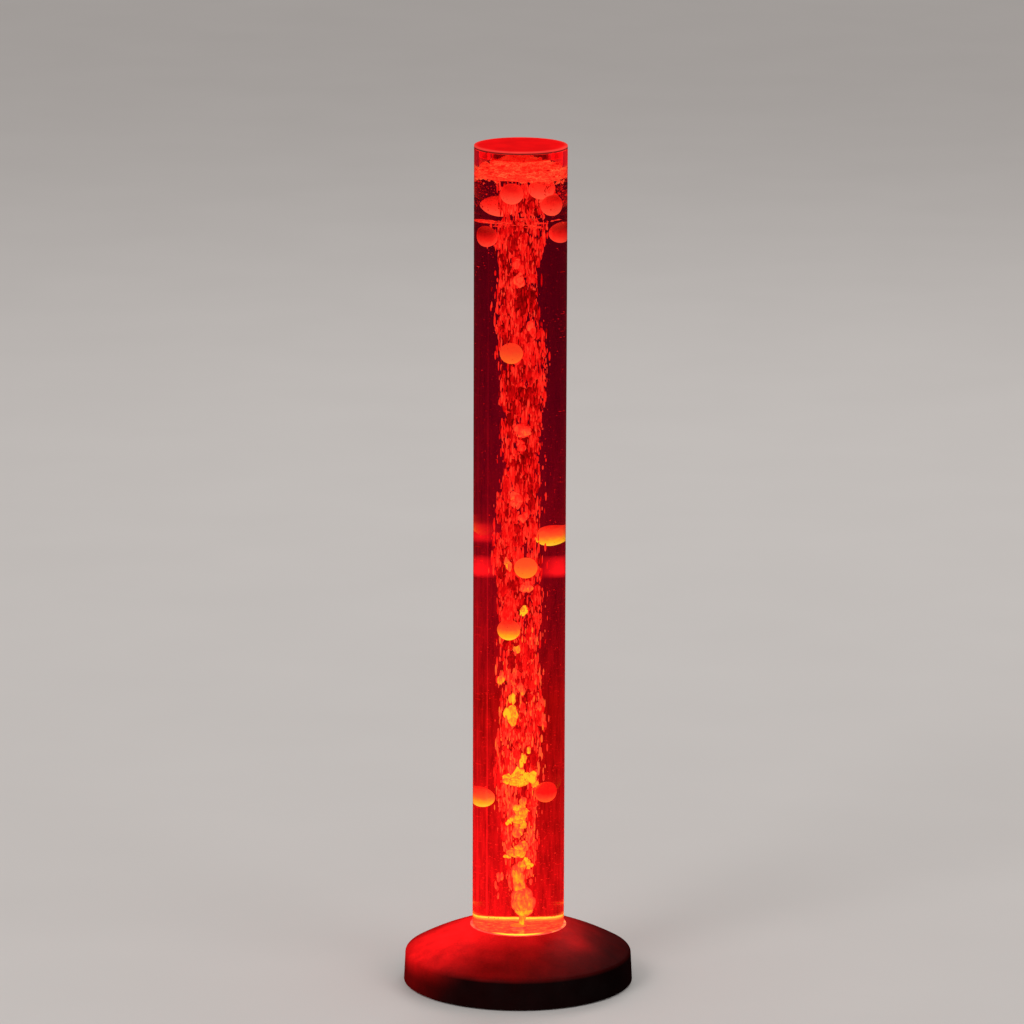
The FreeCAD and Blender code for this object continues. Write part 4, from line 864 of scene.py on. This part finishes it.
# A thin raft of bubbles that has gathered across the tube, above the two balls by the wall.
# Long flat bubbles lie in it side by side, most of them along its back edge.
raft, raft_count, raft_height = [], 1000, 0.8422
while len(raft) < raft_count:
    loose = len(raft) % 5 == 0
    angle = math.pi * chance.uniform(-0.04, 1.04) if not loose else 2 * math.pi * chance.random()
    radius = chance.uniform(0.0255, 0.0330) if not loose else 0.0400 * math.sqrt(chance.random())
    x, y = radius * math.cos(angle), radius * math.sin(angle)
    long_way = 0.0008 + 0.0030 * chance.random() ** 1.5
    high = 0.00022 + 0.00032 * chance.random()
    if math.hypot(x, y) + long_way > 0.0447:
        continue
    z = raft_height + 0.0016 * noise.noise(Vector((x, y, 3.0)) / 0.013) \
        + 0.0010 * noise.noise(Vector((x, y, 9.0)) / 0.005) + 0.0006 * chance.uniform(-1, 1)
    if clear_of_balls(x, y, z, long_way, high) and in_a_clump(x, y, z, 0.40):
        raft.append(((x, y, z), (long_way, 0.0007, high), 0.54 + 0.14 * chance.random(), 0.3))
bubble_cloud("bubble_raft", raft, 2, bubble_skin)

# ---- Foam -----------------------------------------------------------------------------------
# Bubbles that have not burst yet lie 15 mm deep on the water and heap up in the middle, and some
# hang below it at the sides. The light from below is painted on them as a glow, with painted
# brighter rims. A few big ones stand on top with a bright ring of wall round a darker middle.
foam_skin = new_finish("soap-thin bubble wall, lit from below", "#801008",
    {"Roughness": 0.25, "IOR": 1.333, "Specular IOR Level": 0.2, "Emission Strength": 1.0})
add, spot = nodes_for(foam_skin)
glow = add("Attribute", attribute_name="brightness").outputs["Fac"]
wall_edge = add("LayerWeight", {"Blend": 0.5}).outputs["Facing"]
rim_share = add("MapRange", {"Value": wall_edge, "From": (0.1, 0.8), "To": (-0.16, 0.14)})
layered = add("VectorMath", [spot, (0.35, 0.35, 1.6)], "MULTIPLY")
curdle = add("TexNoise", {"Vector": layered, "Scale": 1 / 0.0048, "Detail": 4.0,
    "Distortion": 0.6})
curdled = add("MapRange", {"Value": curdle, "From": (0.3, 0.7), "To": (-0.34, 0.36)})
shade = add("Math", [rim_share, curdled], "ADD")
lit = add("Math", [glow, shade], "ADD")
add("ValToRGB", {"Fac": lit}, stops=[(0.0, "#c00a0a"), (0.25, "#f22016"), (0.5, "#ff4028"),
    (0.75, "#ff6038"), (1.0, "#ff8048")], to="Emission Color")


def foam_crest(x, y):
    """How high the foam stands: heaped in the middle, hollowed here and there."""
    heap = 0.0098 + 0.0056 * math.exp(-((x + 0.002) / 0.022) ** 2)
    lumps = 0.0040 * noise.noise(Vector((x, y, 0.0)) / 0.011) \
        + 0.0014 * noise.noise(Vector((x, y, 5.0)) / 0.0045)
    return heap + lumps * min(1.0, (bore_radius - math.hypot(x, y)) / 0.006)


foam, foam_count, hanging_share = [], 2600, 0.22
while len(foam) < foam_count:
    size = 0.0005 + 0.0021 * chance.random() ** 3.0
    radius = (bore_radius - 0.0002 - size) * chance.random() ** 0.4
    angle = 2 * math.pi * chance.random()
    x, y = radius * math.cos(angle), radius * math.sin(angle)
    z = water_line + 0.0004 + foam_crest(x, y) * chance.random() ** 0.6
    if chance.random() < hanging_share:
        z = water_line - 0.0010 - 0.0085 * (x / bore_radius) ** 2 * chance.random()
    if not clear_of_balls(x, y, z, size * 1.25, size):
        continue
    foam.append(((x, y, z), (size * 1.25, size * 1.25, size * 0.8), 0.40 + 0.26 * chance.random(),
        0.08))
bubble_cloud("foam", foam, 2, foam_skin)
# Big bubbles on top: open rings of wall, dark inside.
rings_around, ring_section = 20, 8
ring_points, ring_faces, ring_glow = [], [], []
for x, y, size, thick in ((0.0072, 0.030, 0.0034, 0.0007), (0.0142, 0.020, 0.0038, 0.0008),
        (-0.0050, -0.008, 0.0036, 0.0006), (0.028, 0.012, 0.0034, 0.0006),
        (-0.018, 0.012, 0.0038, 0.0006), (-0.027, 0.004, 0.0032, 0.0005),
        (0.027, -0.020, 0.0030, 0.0005), (-0.013, 0.022, 0.0036, 0.0006),
        (0.003, -0.034, 0.0032, 0.0005), (-0.034, -0.012, 0.0030, 0.0005)):
    z = water_line + foam_crest(x, y) + 0.0008
    first = len(ring_points)
    for step in range(rings_around):
        turn = 2 * math.pi * step / rings_around
        wobble = 1 + 0.10 * noise.noise(Vector((math.cos(turn), math.sin(turn), x * 400)))
        for part in range(ring_section):
            roll = 2 * math.pi * part / ring_section
            reach = size * wobble + thick * math.cos(roll)
            ring_points.append((x + reach * math.cos(turn), y + reach * math.sin(turn),
                z + 1.5 * thick * math.sin(roll)))
            ring_glow.append(0.72)
    for step in range(rings_around):
        here = first + step * ring_section
        there = first + (step + 1) % rings_around * ring_section
        for part in range(ring_section):
            after = (part + 1) % ring_section
            ring_faces.append((here + part, there + part, there + after, here + after))
foam_rings = make_piece("foam_rings", ring_points, ring_faces, [foam_skin], "clear_acrylic")
foam_rings.data.attributes.new("brightness", "FLOAT", "POINT").data.foreach_set("value", ring_glow)

# ---- Lid ------------------------------------------------------------------------------------
# A 3 mm disc of satin acrylic with a spigot that drops into the bore. The light that it catches
# from the tube's wall is painted on it as a glow: red on its face, lighter at its rim and dimmer
# down its side. The thin spigot under it is see-through, and a painted glow makes it show most
# where it is seen edge-on.
lid_acrylic = new_finish("satin acrylic, lit at its edge", "#4a0608",
    {"Roughness": 0.45, "IOR": 1.49, "Specular IOR Level": 0.05})
add, spot = nodes_for(lid_acrylic)
axes = add("SeparateXYZ", {"Vector": spot})
out = add("VectorMath", [spot, (1.0, 1.0, 0.0)], "MULTIPLY")
away = add("VectorMath", [out], "LENGTH")
satin = add("TexNoise", {"Vector": spot, "Scale": 1 / 0.02, "Detail": 4.0})
wander = add("Math", [satin, 0.0016, away.outputs["Value"]], "MULTIPLY_ADD")
edge = add("MapRange", {"Value": wander, "From": (0.0400, 0.0506)})
add("ValToRGB", {"Fac": edge}, stops=[(0.0, "#f40b0e"), (0.45, "#f80e11"), (0.62, "#fc1615"),
    (0.76, "#ff2a26"), (0.90, "#ff3e36"), (1.0, "#ff4038")], to="Emission Color")
in_bore = add("MapRange", {"Value": axes.outputs["Z"], "From": (0.92205, 0.92195)})
add("ValToRGB", {"Fac": in_bore}, stops=[(0.0, "#4a0608"), (1.0, "#e89090")], to="Base Color")
add("Math", [in_bore, 0.97], "MULTIPLY", to="Transmission Weight")
add("MapRange", {"Value": in_bore, "To": (0.45, 0.02)}, to="Roughness")
edge_on = add("LayerWeight", {"Blend": 0.35}).outputs["Facing"]
spigot_light = add("MapRange", {"Value": edge_on, "From": (0.15, 0.9), "To": (0.02, 0.75)})
face_light = add("MapRange", {"Value": satin, "From": (0.3, 0.7), "To": (0.78, 1.0)})
side_fade = add("MapRange", {"Value": axes.outputs["Z"], "From": (0.9231, 0.9240),
    "To": (0.16, 1.0)})
disc_light = add("Math", [face_light, side_fade], "MULTIPLY")
add("Mix", {"Factor": in_bore, 2: disc_light, 3: spigot_light}, to="Emission Strength")
dress(lid_acrylic, "lid")
